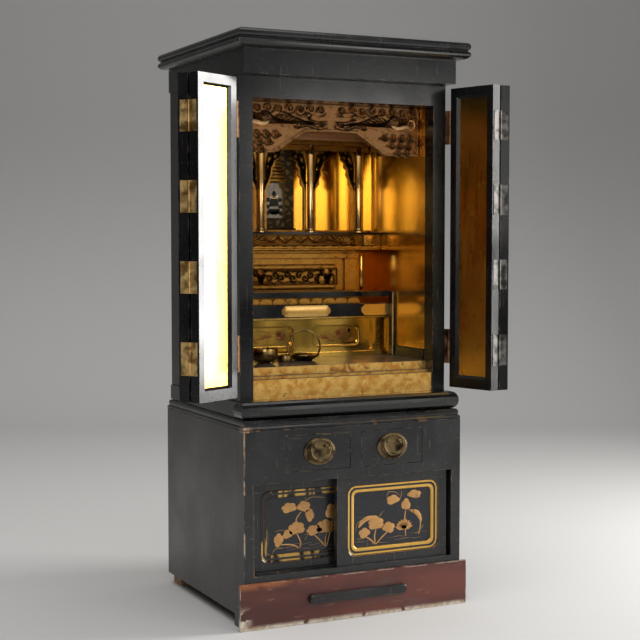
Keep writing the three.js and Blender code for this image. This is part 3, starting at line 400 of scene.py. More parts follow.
def metal(name, bright, dark, roughness=0.32):
    """Old metal, clouded, and dark in its hollows."""
    look = Finish(name, bright, roughness, 1.0, slot="brass")
    cloud = look.noise(45, 6, warp=0.4)
    tone = look.blend(dark, bright, look.span(cloud, 0.35, 0.62))
    tone = look.blend(dark, tone, look.span(look.hollows(0.003), 0.3, 0.85))
    look.colour(tone)
    look.rough(look.span(cloud, 0.3, 0.7, roughness - 0.06, roughness + 0.15))
    look.bump(look.noise(220, 4), 0.0002, 0.3)
    return look


MAKIE = gold_leaf("gold_powder", (0.66, 0.36, 0.13), (0.20, 0.085, 0.03), 0.42, 1.3)
MAKIE_DARK = gold_leaf("gold_powder_lines", (0.50, 0.30, 0.12), (0.12, 0.06, 0.03), 0.45, 0.8)
STEP_GOLD = gold_leaf("border_gold", (0.80, 0.47, 0.10), (0.30, 0.13, 0.03), 0.38, 0.8)
WORN_STEP_GOLD = gold_leaf("worn_border_gold", (0.62, 0.38, 0.10), (0.03, 0.022, 0.018), 0.42, 3.2)
COLUMN_GOLD = gold_leaf("column_gold", (1.0, 0.72, 0.34), (0.35, 0.15, 0.03), 0.16, 0.4)
TABLE_GOLD = carved_gold("table_gold", (0.78, 0.38, 0.07), (0.05, 0.018, 0.005), 0.004, 0.3)
# painted shade: the table's ground is a darker copy of its carving's gold, for the dark it reflects and the shade
# between the carving
TABLE_GROUND = carved_gold("table_ground", (0.20, 0.09, 0.018), (0.02, 0.009, 0.004), 0.006, 0.36)
BRACKET = carved_gold("bracket_brown", (0.16, 0.085, 0.028), (0.012, 0.008, 0.006), 0.005, 0.45)
RED_GOLD = carved_gold("red_gold", (0.50, 0.22, 0.075), (0.06, 0.015, 0.008), 0.004, 0.4)
OLD_GOLD_EDGE = carved_gold("step_edge_gold", (0.80, 0.50, 0.14), (0.08, 0.04, 0.012), 0.003, 0.3)
RAIL_GOLD = gold_leaf("rail_mount_gold", (0.85, 0.50, 0.13), (0.30, 0.13, 0.03), 0.3, 0.7)
SCROLL_GOLD = gold_leaf("scroll_ground_gold", (0.30, 0.19, 0.06), (0.10, 0.05, 0.02), 0.55, 1.0)


BRASS = metal("brass", (0.25, 0.18, 0.09), (0.045, 0.032, 0.018), 0.4)
DISH_BRASS = metal("dish_brass", (0.50, 0.33, 0.12), (0.10, 0.06, 0.025), 0.3)
HINGE_STEEL = metal("hinge_steel", (0.16, 0.15, 0.14), (0.03, 0.028, 0.025), 0.4)
COPPER = metal("copper_hinge", (0.42, 0.23, 0.12), (0.10, 0.05, 0.03), 0.42)
HINGE_BRASS = metal("hinge_brass", (0.95, 0.66, 0.28), (0.40, 0.22, 0.07), 0.4)
BELL_BRASS = metal("bell_brass", (0.72, 0.48, 0.16), (0.20, 0.11, 0.04), 0.22)


def brocade():
    """Faded gold scroll cloth with a net of small figures and fine upright threads."""
    look = Finish("brocade", (0.18, 0.12, 0.045), 0.8)
    threads = look.noise(900, 2, stretch=(1, 1, 0.25))
    figure = look.cells(60)
    tone = look.blend((0.09, 0.055, 0.02), (0.34, 0.23, 0.08), look.span(figure, 0.1, 0.3))
    look.colour(look.blend(tone, (0.05, 0.03, 0.012), look.span(threads, 0.5, 0.7, 0.0, 0.5)))
    look.bump(threads, 0.0003, 0.5)
    return look


BROCADE = brocade()


def painted(name, colour, slot):
    """Matt cloudy paint."""
    look = Finish(name, colour, 0.6, slot=slot)
    cloud = look.noise(90, 5)
    look.colour(look.blend(tuple(0.5 * c for c in colour), colour, look.span(cloud, 0.35, 0.65)))
    look.bump(cloud, 0.0002, 0.4)
    return look


SCROLL_DARK = painted("scroll_paint", (0.035, 0.045, 0.022), "brocade")
PICTURE_GROUND = black_lacquer("painted_picture", (0.007, 0.009, 0.013), 0.2, 0.2, 0.26)


def dress_solids():
    """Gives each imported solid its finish: by its name if listed, or else by the record's material slot."""
    by_slot = {
        "black_lacquer": LACQUER, "brown_black_lacquer": SIDE_LACQUER, "red_lacquer": RED,
        "bare_wood": BARE_WOOD, "stained_wood": STAINED_WOOD, "gold_leaf": GOLD,
        "dull_gold_leaf": OLD_GOLD, "painted_picture": PICTURE_GROUND, "brass": BRASS,
        "copper_hinge": COPPER, "brocade": BROCADE,
    }
    by_node = {"carved_transom": CARVED_GROUND, "altar_table": TABLE_GROUND, "inner_floor": FLOOR_GOLD,
               "gold_threshold": FLOOR_GOLD}
    worn_starts = ("base_", "drawer_", "slide_frame", "plinth_grip")
    for part in frame["record"]["subparts"]:
        node = part["node"]
        look = by_node.get(node, by_slot[part["material_slot"]])
        if look is LACQUER and node.startswith(worn_starts):
            look = LOWER_LACQUER
        if node.startswith("leaf_panel"):
            look = DOOR_GOLD
        solid = frame["nodes"][node]
        solid.data.materials.clear()
        solid.data.materials.append(look.material)


dress_solids()


# ---- shaping ----
UP = Vector((0, 0, 1))
FORWARD = Vector((0, -1, 0))
# sections of raised strokes: across from -1 to 1, and out from the face
ROUNDED = [(-1, -0.3), (-0.92, 0.35), (-0.55, 0.85), (0, 1), (0.55, 0.85), (0.92, 0.35), (1, -0.3)]
GROOVED = [(-1, -0.3), (-0.9, 0.5), (-0.62, 0.85), (-0.48, 0.5), (-0.3, 0.95), (-0.1, 0.6), (0.1, 1.0),
           (0.3, 0.6), (0.48, 0.95), (0.66, 0.5), (0.9, 0.5), (1, -0.3)]
SHARP_ANGLE = math.radians(38)
WELD = 0.001      # millimetres within which points become one


def made(name, bm, look, body, stands_for=(), smooth=True):
    """Turns finished mesh work into a piece that rides on a body and takes a finish."""
    bmesh.ops.recalc_face_normals(bm, faces=bm.faces)
    bmesh.ops.transform(bm, matrix=TO_FRAME, verts=bm.verts)
    mesh = bpy.data.meshes.new(name)
    bm.to_mesh(mesh)
    bm.free()
    mesh.polygons.foreach_set("use_smooth", [smooth] * len(mesh.polygons))
    mesh.set_sharp_from_angle(angle=SHARP_ANGLE)
    mesh.materials.append(look.material)
    piece = bpy.data.objects.new(name, mesh)
    bpy.context.scene.collection.objects.link(piece)
    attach(piece, body)
    if stands_for:
        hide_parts(*stands_for)
    return piece


def gather(target, part):
    """Adds a small finished mesh to a larger one."""
    bmesh.ops.recalc_face_normals(part, faces=part.faces)
    scrap = bpy.data.meshes.new("scrap")
    part.to_mesh(scrap)
    part.free()
    target.from_mesh(scrap)
    bpy.data.meshes.remove(scrap)


def sweep(target, section, stations, loop=False):
    """Pushes a closed section through stations of (centre, across, out)."""
    def placed(station):
        centre, across, out = station
        return [centre + across * u + out * v for u, v in section]

    part = bmesh.new()
    cap = part.faces.new([part.verts.new(place) for place in placed(stations[0])])
    for station in stations[1:] + (stations[:1] if loop else []):
        cap = bmesh.ops.extrude_discrete_faces(part, faces=[cap])["faces"][0]
        for vert, place in zip(cap.verts, placed(station)):
            vert.co = place
    if loop:
        bmesh.ops.delete(part, geom=[cap], context="FACES_ONLY")
        bmesh.ops.remove_doubles(part, verts=part.verts, dist=WELD)
    else:
        rims = [edge for edge in part.edges if edge.is_boundary]
        bmesh.ops.holes_fill(part, edges=rims, sides=0)
    gather(target, part)


def around(x, z, reach, angle, tall=None):
    """A place off (x, z) by reach at an angle in radians, or on an oval as tall as given."""
    return x + reach * math.cos(angle), z + (reach if tall is None else tall) * math.sin(angle)


def flow(points, steps=12):
    """A smooth path through a few places."""
    ends = [points[0], *points, points[-1]]
    path = []
    spans = len(points) - 1
    for i in range(steps + 1):
        place = i / steps * spans
        k = min(int(place), spans - 1)
        t = place - k
        a, b, c, d = (Vector(p) for p in ends[k:k + 4])
        path.append(0.5 * (2 * b + (c - a) * t + (2 * a - 5 * b + 4 * c - d) * t * t
                           + (3 * b - a - 3 * c + d) * t ** 3))
    return path


def stroke(target, path, width, y, rise, section=ROUNDED, blunt=0.15):
    """A raised stroke on a forward face: path in (x, z), widest in the middle, thin at its ends."""
    stations = []
    last = len(path) - 1
    for i, place in enumerate(path):
        along = (Vector(path[min(i + 1, last)]) - Vector(path[max(i - 1, 0)])).normalized()
        swell = blunt + (1 - blunt) * math.sin(math.pi * (i / last)) ** 0.7
        across = Vector((-along.y, 0, along.x)) * width * swell
        out = FORWARD * rise * (0.35 + 0.65 * swell)
        stations.append((Vector((place[0], y, place[1])), across, out))
    sweep(target, section, stations)


def curl_path(x, z, radius, start, turns=1.35, sense=1, steps=18):
    """A spiral that winds in towards its centre, angles in degrees."""
    path = []
    for i in range(steps + 1):
        t = i / steps
        angle = math.radians(start + sense * 360 * turns * t)
        path.append(around(x, z, radius * (1 - 0.8 * t), angle))
    return path


def mirrored(path):
    """The same path on the other side of the cabinet's middle."""
    return [(2 * MIDDLE - x, z) for x, z in path]


def turned(target, profile, place, steps=40, axis=UP, squash=1.0):
    """Spins a profile of (radius, height) about an axis at a place, flattened by squash if it is oval."""
    part = bmesh.new()
    verts = [part.verts.new((radius, 0, height)) for radius, height in profile]
    edges = [part.edges.new(pair) for pair in zip(verts, verts[1:])]
    bmesh.ops.spin(part, geom=verts + edges, cent=(0, 0, 0), axis=UP, angle=2 * math.pi, steps=steps,
                   use_merge=True, use_normal_flip=False, use_duplicate=False)
    bmesh.ops.remove_doubles(part, verts=part.verts, dist=WELD)
    bmesh.ops.scale(part, vec=(1, squash, 1), verts=part.verts)
    if axis == FORWARD:
        tip_over = Matrix.Rotation(math.pi / 2, 3, "X")
        bmesh.ops.rotate(part, cent=(0, 0, 0), matrix=tip_over, verts=part.verts)
    bmesh.ops.translate(part, vec=place, verts=part.verts)
    gather(target, part)


def block(target, low, high, soften=0.0, segments=2):
    """A box between two corners, its edges rounded off by soften."""
    part = bmesh.new()
    low, high = Vector(low), Vector(high)
    size = high - low
    place = Matrix.Translation((low + high) / 2) @ Matrix.Diagonal((*size, 1))
    bmesh.ops.create_cube(part, size=1, matrix=place)
    if soften:
        bmesh.ops.bevel(part, geom=part.edges[:], offset=soften, segments=segments, affect="EDGES",
                        profile=0.5, material=-1)
    gather(target, part)


def tube(target, path, radius, sides=12, loop=False):
    """A round rod along a path in space, of one radius or of a radius for each point."""
    ring = [around(0, 0, 1, 2 * math.pi * k / sides) for k in range(sides)]
    points = [Vector(p) for p in path]
    last = len(points) - 1
    stations = []
    side = None
    for i, place in enumerate(points):
        if loop:
            along = (points[(i + 1) % len(points)] - points[i - 1]).normalized()
        else:
            along = (points[min(i + 1, last)] - points[max(i - 1, 0)]).normalized()
        if side is None:
            side = along.orthogonal().normalized()
        side = (side - along * side.dot(along)).normalized()
        thick = radius[i] if isinstance(radius, (list, tuple)) else radius
        stations.append((place, side * thick, along.cross(side) * thick))
    sweep(target, ring, stations, loop)


def plate(target, outline, y, thickness, soften=0.0):
    """A flat shape that looks forward, from its outline in (x, z)."""
    part = bmesh.new()
    face = part.faces.new([part.verts.new((x, y, z)) for x, z in outline])
    grown = bmesh.ops.extrude_face_region(part, geom=[face], use_keep_orig=True)
    front = [item for item in grown["geom"] if isinstance(item, bmesh.types.BMVert)]
    bmesh.ops.translate(part, vec=FORWARD * thickness, verts=front)
    if soften:
        rim = {edge for vert in front for edge in vert.link_edges if edge.other_vert(vert) in front}
        bmesh.ops.bevel(part, geom=list(rim), offset=soften, segments=2, affect="EDGES", profile=0.5,
                        material=-1)
    bmesh.ops.triangulate(part, faces=[f for f in part.faces if len(f.verts) > 4])
    gather(target, part)


def rounded_outline(x0, x1, z0, z1, radius, steps=8):
    """A rectangle with round corners, in (x, z)."""
    outline = []
    corners = ((x1 - radius, z0 + radius, -90), (x1 - radius, z1 - radius, 0),
               (x0 + radius, z1 - radius, 90), (x0 + radius, z0 + radius, 180))
    for cx, cz, start in corners:
        for i in range(steps + 1):
            outline.append(around(cx, cz, radius, math.radians(start + 90 * i / steps)))
    return outline


# ---- hinges between the leaves ----
LEFT_OPEN = 150.5       # degrees from closed, as the inner leaves stand
RIGHT_OPEN = 106
SHORT_OF_FOLD = 16      # degrees that an outer leaf lacks to lie flat on the inner one
HINGE_HEIGHTS = ((563, 634), (737, 805), (907, 975), (1077, 1143))
KNUCKLES = 5
JOINT_POINTS = {joint["name"]: Vector(joint["pos_m"]) for joint in frame["joints"] if "pos_m" in joint}


def leaf_axes(side):
    """Directions of the inner and the outer leaf: along it from its hinge, and out of its black face."""
    sign, opened = (1, LEFT_OPEN) if side == "left" else (-1, RIGHT_OPEN)
    swing = Matrix.Rotation(math.radians(-sign * opened), 3, "Z")
    along = swing @ Vector((sign, 0, 0))
    out = swing @ Vector((0, -1, 0))
    short = math.radians(SHORT_OF_FOLD)
    return {
        "inner": (along, out),
        "outer": (-along * math.cos(short) + out * math.sin(short),
                  -out * math.cos(short) - along * math.sin(short)),
    }


def fold_hinges():
    """Four hinges for each pair of leaves: plates in the gap between them and shared knuckles."""
    plate_from, plate_to = 0.5, 1.45      # off the pin, towards the leaf
    plate_deep, plate_centre = 19, -11
    knuckle_radius, knuckle_gap = 2.3, 0.5
    for side in ("left", "right"):
        pin = (JOINT_POINTS[f"{side}_fold_hinge"] - FOOT) * 1000
        for part, (along, out) in leaf_axes(side).items():
            bm = bmesh.new()
            towards = -along if part == "inner" else along
            axes = Matrix((towards, out, UP)).transposed().to_4x4()
            for z0, z1 in HINGE_HEIGHTS:
                height = z1 - z0
                middle = Matrix.Translation((pin.x, pin.y, (z0 + z1) / 2)) @ axes
                strap = Matrix.Translation(((plate_from + plate_to) / 2, plate_centre, 0))
                size = Matrix.Diagonal((plate_to - plate_from, plate_deep, height, 1))
                bmesh.ops.create_cube(bm, size=1, matrix=middle @ strap @ size)
                for knuckle in range(0 if part == "inner" else 1, KNUCKLES, 2):
                    lift = Matrix.Translation((0, 0, height * ((knuckle + 0.5) / KNUCKLES - 0.5)))
                    bmesh.ops.create_cone(bm, cap_ends=True, segments=18, radius1=knuckle_radius,
                                          radius2=knuckle_radius, depth=height / KNUCKLES - knuckle_gap,
                                          matrix=middle @ lift)
            look = HINGE_BRASS if side == "left" else HINGE_STEEL
            made(f"fold_hinges_{side}_{part}", bm, look, f"leaf_{side}_{part}")


fold_hinges()


# ---- drawer pulls ----
PULL_PROFILE = [(0, 1.0), (0.44, 1.1), (0.52, 1.7), (0.56, 3.6), (0.60, 4.2), (0.64, 3.8), (0.67, 2.8),
                (0.80, 2.6), (0.83, 3.6), (0.87, 3.9), (0.9, 3.0), (0.98, 2.2), (1, 1.2), (1, -0.1),
                (0, -0.1)]
BOSS_PROFILE = [(0, 11), (2.6, 10.8), (3.6, 9.8), (3.9, 8), (3.4, 5), (4.6, 3), (5.2, 1.4), (0, 1.4)]
BEADS = 44
BEAD_RINGS = ((0.735, -3.2, 1.75), (0.945, -2.7, 1.5))      # share of the oval, depth, bead's radius


def pulls():
    """Oval plates with two rings of beads and a sunk dish, and the bails that hang on them."""
    for side in ("left", "right"):
        low, high = extent(f"pull_plate_{side}")
        middle_x, middle_z = (low.x + high.x) / 2, (low.z + high.z) / 2
        half = (high.x - low.x) / 2
        squash = (high.z - low.z) / (high.x - low.x)
        bm = bmesh.new()
        profile = [(radius * half, height) for radius, height in PULL_PROFILE]
        turned(bm, profile, (middle_x, 0, middle_z), 64, FORWARD, squash)
        for i in range(BEADS):
            for share, depth, radius in BEAD_RINGS:
                reach = share * half
                x, z = around(middle_x, middle_z, reach, 2 * math.pi * i / BEADS, reach * squash)
                place = Matrix.Translation((x, depth, z))
                bmesh.ops.create_icosphere(bm, subdivisions=1, radius=radius, matrix=place)
        pivot = (JOINT_POINTS[f"{side}_bail_hinge"] - FOOT) * 1000
        for sign in (-1, 1):
            turned(bm, BOSS_PROFILE, (pivot.x + sign * 14, 0, pivot.z), 20, FORWARD)
        made(f"pull_plate_fine_{side}", bm, BRASS, f"small_drawer_{side}", (f"pull_plate_{side}",))

        bm = bmesh.new()
        tip, neck = 18.6, 22
        path = [(pivot.x - tip, pivot.y, pivot.z), (pivot.x - neck, pivot.y, pivot.z + 0.4)]
        thickness = [1.5, 2.0]
        bends = 24
        for i in range(bends + 1):
            x, z = around(pivot.x, pivot.z - 4, 24.5, math.radians(186 + 168 * i / bends), 29)
            path.append((x, pivot.y, z))
            thickness.append(1.9 + 0.9 * math.sin(math.pi * i / bends))
        path += [(pivot.x + neck, pivot.y, pivot.z + 0.4), (pivot.x + tip, pivot.y, pivot.z)]
        thickness += [2.0, 1.5]
        tube(bm, path, thickness, 12)
        made(f"pull_bail_fine_{side}", bm, BRASS, f"bail_{side}", (f"pull_bail_{side}",))


pulls()


# ---- things on the inner floor ----
BELL_PROFILE = [(0, 0), (12, 0), (18, 1.8), (24, 6), (28.5, 12), (31, 19), (31.5, 25), (30.8, 31),
                (30.6, 33), (29.4, 33.4), (28.4, 32.6), (28.8, 25), (27.6, 17), (24, 11), (17, 6.6),
                (8, 4.6), (0, 4.2)]
DISH_PROFILE = [(0, 0), (19, 0), (21, 1.4), (25, 3.2), (32, 7.5), (36.4, 11), (37.2, 13), (36.4, 14.2),
                (35, 13.4), (31, 10.2), (24, 6.8), (12, 5.2), (0, 5)]
RING_PROFILE = [(11, 0), (15.5, 0), (16.6, 4), (17, 8), (16.4, 12), (15.5, 15), (14.2, 15.4), (13, 15),
                (13.6, 10), (13.4, 5), (11, 0)]


def stands_at(node):
    """The middle of a node's foot."""
    low, high = extent(node)
    return Vector(((low.x + high.x) / 2, (low.y + high.y) / 2, low.z))


def floor_things():
    """The bell bowl, the dish with its upright hoop, and the low ring."""
    bm = bmesh.new()
    turned(bm, BELL_PROFILE, stands_at("bell_bowl"), 56)
    made("bell_bowl_fine", bm, BELL_BRASS, "cabinet", ("bell_bowl",))

    bm = bmesh.new()
    foot = stands_at("hooped_dish")
    turned(bm, DISH_PROFILE, foot, 56)
    hoop_radius, hoop_rise, turn = 38, 33, math.radians(26)
    hoop = []
    for i in range(37):
        reach, lift = around(0, hoop_rise, hoop_radius, math.radians(-40 + 260 * i / 36))
        hoop.append(foot + Vector((reach * math.cos(turn), -reach * math.sin(turn), lift)))
    tube(bm, hoop, 2.1, 12)
    made("hooped_dish_fine", bm, DISH_BRASS, "cabinet", ("hooped_dish",))

    bm = bmesh.new()
    turned(bm, RING_PROFILE, stands_at("low_ring"), 40)
    made("low_ring_fine", bm, DISH_BRASS, "cabinet", ("low_ring",))


floor_things()


# ---- sliding doors: gold steps round the pictures, and lotus pictures ----
STEP_WIDTH = 18.3
POWDER_RISE = 0.35      # how far the gold powder stands off the picture's panel


def lobed(x, z, width, height, lobes, turn=0.0, spread=300.0):
    """Outline of a lotus leaf seen from the side: lobes round a fan, drawn in to its stalk."""
    outline = []
    steps = lobes * 7
    for i in range(steps + 1):
        t = i / steps
        angle = math.radians(turn + 90 - spread / 2 + spread * t)
        reach = 0.80 + 0.20 * abs(math.sin(math.pi * lobes * t)) ** 0.6
        outline.append(around(x, z, width * reach, angle, height * reach))
    return outline


def petal(x, z, length, width, turn):
    """Outline of a pointed petal that starts at (x, z)."""
    side = [(0.0, 0.10), (0.25, 0.42), (0.5, 0.5), (0.78, 0.3), (1.0, 0.0)]
    cos, sin = math.cos(math.radians(turn)), math.sin(math.radians(turn))
    outline = []
    for t, w in side + [(t, -w) for t, w in reversed(side[:-1])]:
        along, across = length * t, width * w
        outline.append((x + along * cos - across * sin, z + along * sin + across * cos))
    return outline


# places as shares of a panel's width and height; a leaf: x, z, width, height, lobes, turn
LOTUS_RIGHT = {
    "leaves": [(0.79, 0.88, 0.095, 0.085, 4, -30), (0.51, 0.81, 0.088, 0.095, 4, 25),
               (0.68, 0.70, 0.062, 0.12, 3, -8), (0.14, 0.25, 0.075, 0.10, 4, 35),
               (0.29, 0.40, 0.105, 0.13, 5, 5), (0.45, 0.31, 0.085, 0.11, 4, -30)],
    "stems": [[(0.68, 0.62), (0.665, 0.45), (0.68, 0.12)], [(0.14, 0.20), (0.22, 0.12), (0.27, 0.03)],
              [(0.29, 0.32), (0.27, 0.18), (0.28, 0.03)], [(0.45, 0.25), (0.36, 0.14), (0.29, 0.03)],
              [(0.72, 0.60), (0.80, 0.57), (0.86, 0.45), (0.875, 0.30), (0.85, 0.13)]],
    "drooping": [[(0.74, 0.58), (0.83, 0.53), (0.89, 0.37)], [(0.06, 0.36), (0.15, 0.50), (0.31, 0.53)]],
    "reeds": [[(0.425, 0.86), (0.45, 0.96), (0.54, 0.95), (0.60, 0.88)],
              [(0.62, 0.98), (0.62, 0.90), (0.60, 0.80)], [(0.03, 0.30), (0.05, 0.44), (0.16, 0.54)],
              [(0.39, 0.62), (0.34, 0.55), (0.32, 0.47)], [(0.92, 0.30), (0.86, 0.20), (0.80, 0.14)]],
    "flower": (0.655, 0.26, 0.12),
    "water": [(0.02, 0.10, 0.22), (0.16, 0.05, 0.30), (0.40, 0.13, 0.26), (0.52, 0.08, 0.36),
              (0.70, 0.17, 0.26), (0.03, 0.155, 0.12)],
}
LOTUS_LEFT = {
    "leaves": [(0.27, 0.80, 0.095, 0.10, 5, 20), (0.45, 0.80, 0.085, 0.11, 4, -25),
               (0.52, 0.64, 0.06, 0.12, 4, -60), (0.36, 0.42, 0.105, 0.13, 5, 10),
               (0.14, 0.24, 0.062, 0.13, 4, 40), (0.25, 0.33, 0.06, 0.09, 3, 20),
               (0.58, 0.36, 0.10, 0.10, 5, 30), (0.72, 0.40, 0.12, 0.14, 5, -5),
               (0.80, 0.66, 0.08, 0.16, 4, -10)],
    "stems": [[(0.42, 0.72), (0.36, 0.60), (0.36, 0.48)], [(0.36, 0.34), (0.41, 0.18), (0.40, 0.07)],
              [(0.16, 0.16), (0.30, 0.14), (0.39, 0.07)], [(0.58, 0.28), (0.66, 0.16), (0.72, 0.05)],
              [(0.74, 0.28), (0.72, 0.16), (0.73, 0.05)], [(0.82, 0.54), (0.78, 0.30), (0.74, 0.05)]],
    "drooping": [],
    "reeds": [[(0.46, 0.88), (0.55, 0.96), (0.72, 0.93)], [(0.47, 0.97), (0.48, 0.90), (0.46, 0.84)],
              [(0.10, 0.40), (0.16, 0.42), (0.24, 0.40)], [(0.45, 0.30), (0.50, 0.30), (0.46, 0.20)],
              [(0.06, 0.02), (0.10, 0.09), (0.20, 0.11)]],
    "flower": None,
    "water": [(0.10, 0.10, 0.34), (0.24, 0.055, 0.40), (0.50, 0.11, 0.34), (0.62, 0.07, 0.30),
              (0.30, 0.14, 0.26)],
}


def picture(side, plan):
    """Lotus plants over water, in raised gold powder, on the panel of one sliding door."""
    low, high = extent(f"slide_panel_{side}")
    wide, tall, face = high.x - low.x, high.z - low.z, low.y
    rise, sunk = POWDER_RISE, 0.1

    def on(u, w):
        return low.x + wide * u, low.z + tall * w

    bm = bmesh.new()
    for u, w, width, height, lobes, turn in plan["leaves"]:
        x, z = on(u, w)
        plate(bm, lobed(x, z, wide * width, tall * height, lobes, turn), face + sunk, rise + sunk, 0.12)
    for path in plan["drooping"]:
        stroke(bm, flow([on(*p) for p in path], 12), tall * 0.045, face, rise + 0.15, blunt=0.1)
    for path in plan["stems"]:
        stroke(bm, flow([on(*p) for p in path], 12), 1.7, face, rise + 0.1, blunt=0.5)
    if plan["flower"]:
        u, w, reach = plan["flower"]
        x, z = on(u, w)
        for ring, (count, scale, lift) in enumerate(((9, 1.0, 0.0), (7, 0.78, 0.15), (5, 0.5, 0.3))):
            for i in range(count):
                turn = 90 + (i - (count - 1) / 2) * (150 / (count - 1)) * (1 - 0.12 * ring)
                outline = petal(x, z, wide * reach * scale, wide * 0.052, turn)
                plate(bm, outline, face + sunk, rise + sunk + lift, 0.1)
    made(f"lotus_gold_{side}", bm, MAKIE, f"slide_door_{side}")

    bm = bmesh.new()
    for path in plan["reeds"]:
        stroke(bm, flow([on(*p) for p in path], 10), 0.75, face, 0.22, blunt=0.25)
    for u, w, length in plan["water"]:
        wave = [on(u + length * t, w + 0.010 * math.sin(9 * t + 20 * u)) for t in (0, 0.25, 0.5, 0.75, 1.0)]
        stroke(bm, flow(wave, 10), 0.42, face, 0.2, blunt=0.2)
    for u, w, width, height, lobes, turn in plan["leaves"]:
        for k in range(lobes + 1):
            angle = math.radians(turn - 60 + 300 * k / lobes)
            end = around(u, w, 0.78 * width, angle, 0.78 * height)
            vein = [on(u, w - 0.1 * height), on((u + end[0]) / 2, (w + end[1]) / 2), on(*end)]
            stroke(bm, vein, 0.34, face - rise, 0.18, blunt=0.3)
    made(f"lotus_lines_{side}", bm, MAKIE_DARK, f"slide_door_{side}")


def gold_steps(side, look):
    """The stepped gold surround between a sliding door's frame and its picture."""
    low, high = extent(f"slide_panel_{side}")
    face = extent(f"slide_frame_{side}")[0].y
    panel = low.y
    inset = STEP_WIDTH
    inner_radius, outer_radius = 9.8, 20

    def ring(out, depth):
        radius = inner_radius + (outer_radius - inner_radius) * out / inset
        outline = rounded_outline(low.x - out, high.x + out, low.z - out, high.z + out, radius, 10)
        return [Vector((x, depth, z)) for x, z in outline]

    loops = [ring(inset - 0.2, face + 0.2), ring(inset - 1.0, face + 2.4), ring(inset - 2.6, face + 2.9),
             ring(inset / 2, face + 3.3), ring(3.4, face + 3.2), ring(1.2, face + 4.0), ring(0.3, face + 5.4),
             ring(0.0, panel - 0.05), ring(inset - 0.1, panel - 0.05)]
    bm = bmesh.new()
    rings = []
    for points in loops:
        verts = [bm.verts.new(place) for place in points]
        rings.append([bm.edges.new((a, b)) for a, b in zip(verts, verts[1:] + verts[:1])])
    for a, b in zip(rings, rings[1:] + rings[:1]):
        bmesh.ops.bridge_loops(bm, edges=a + b)
    made(f"gold_steps_{side}", bm, look, f"slide_door_{side}")


gold_steps("right", STEP_GOLD)
gold_steps("left", WORN_STEP_GOLD)
picture("right", LOTUS_RIGHT)
picture("left", LOTUS_LEFT)


# ---- carved transom ----
TRANSOM_FACE = 128      # depth of the pierced board's front


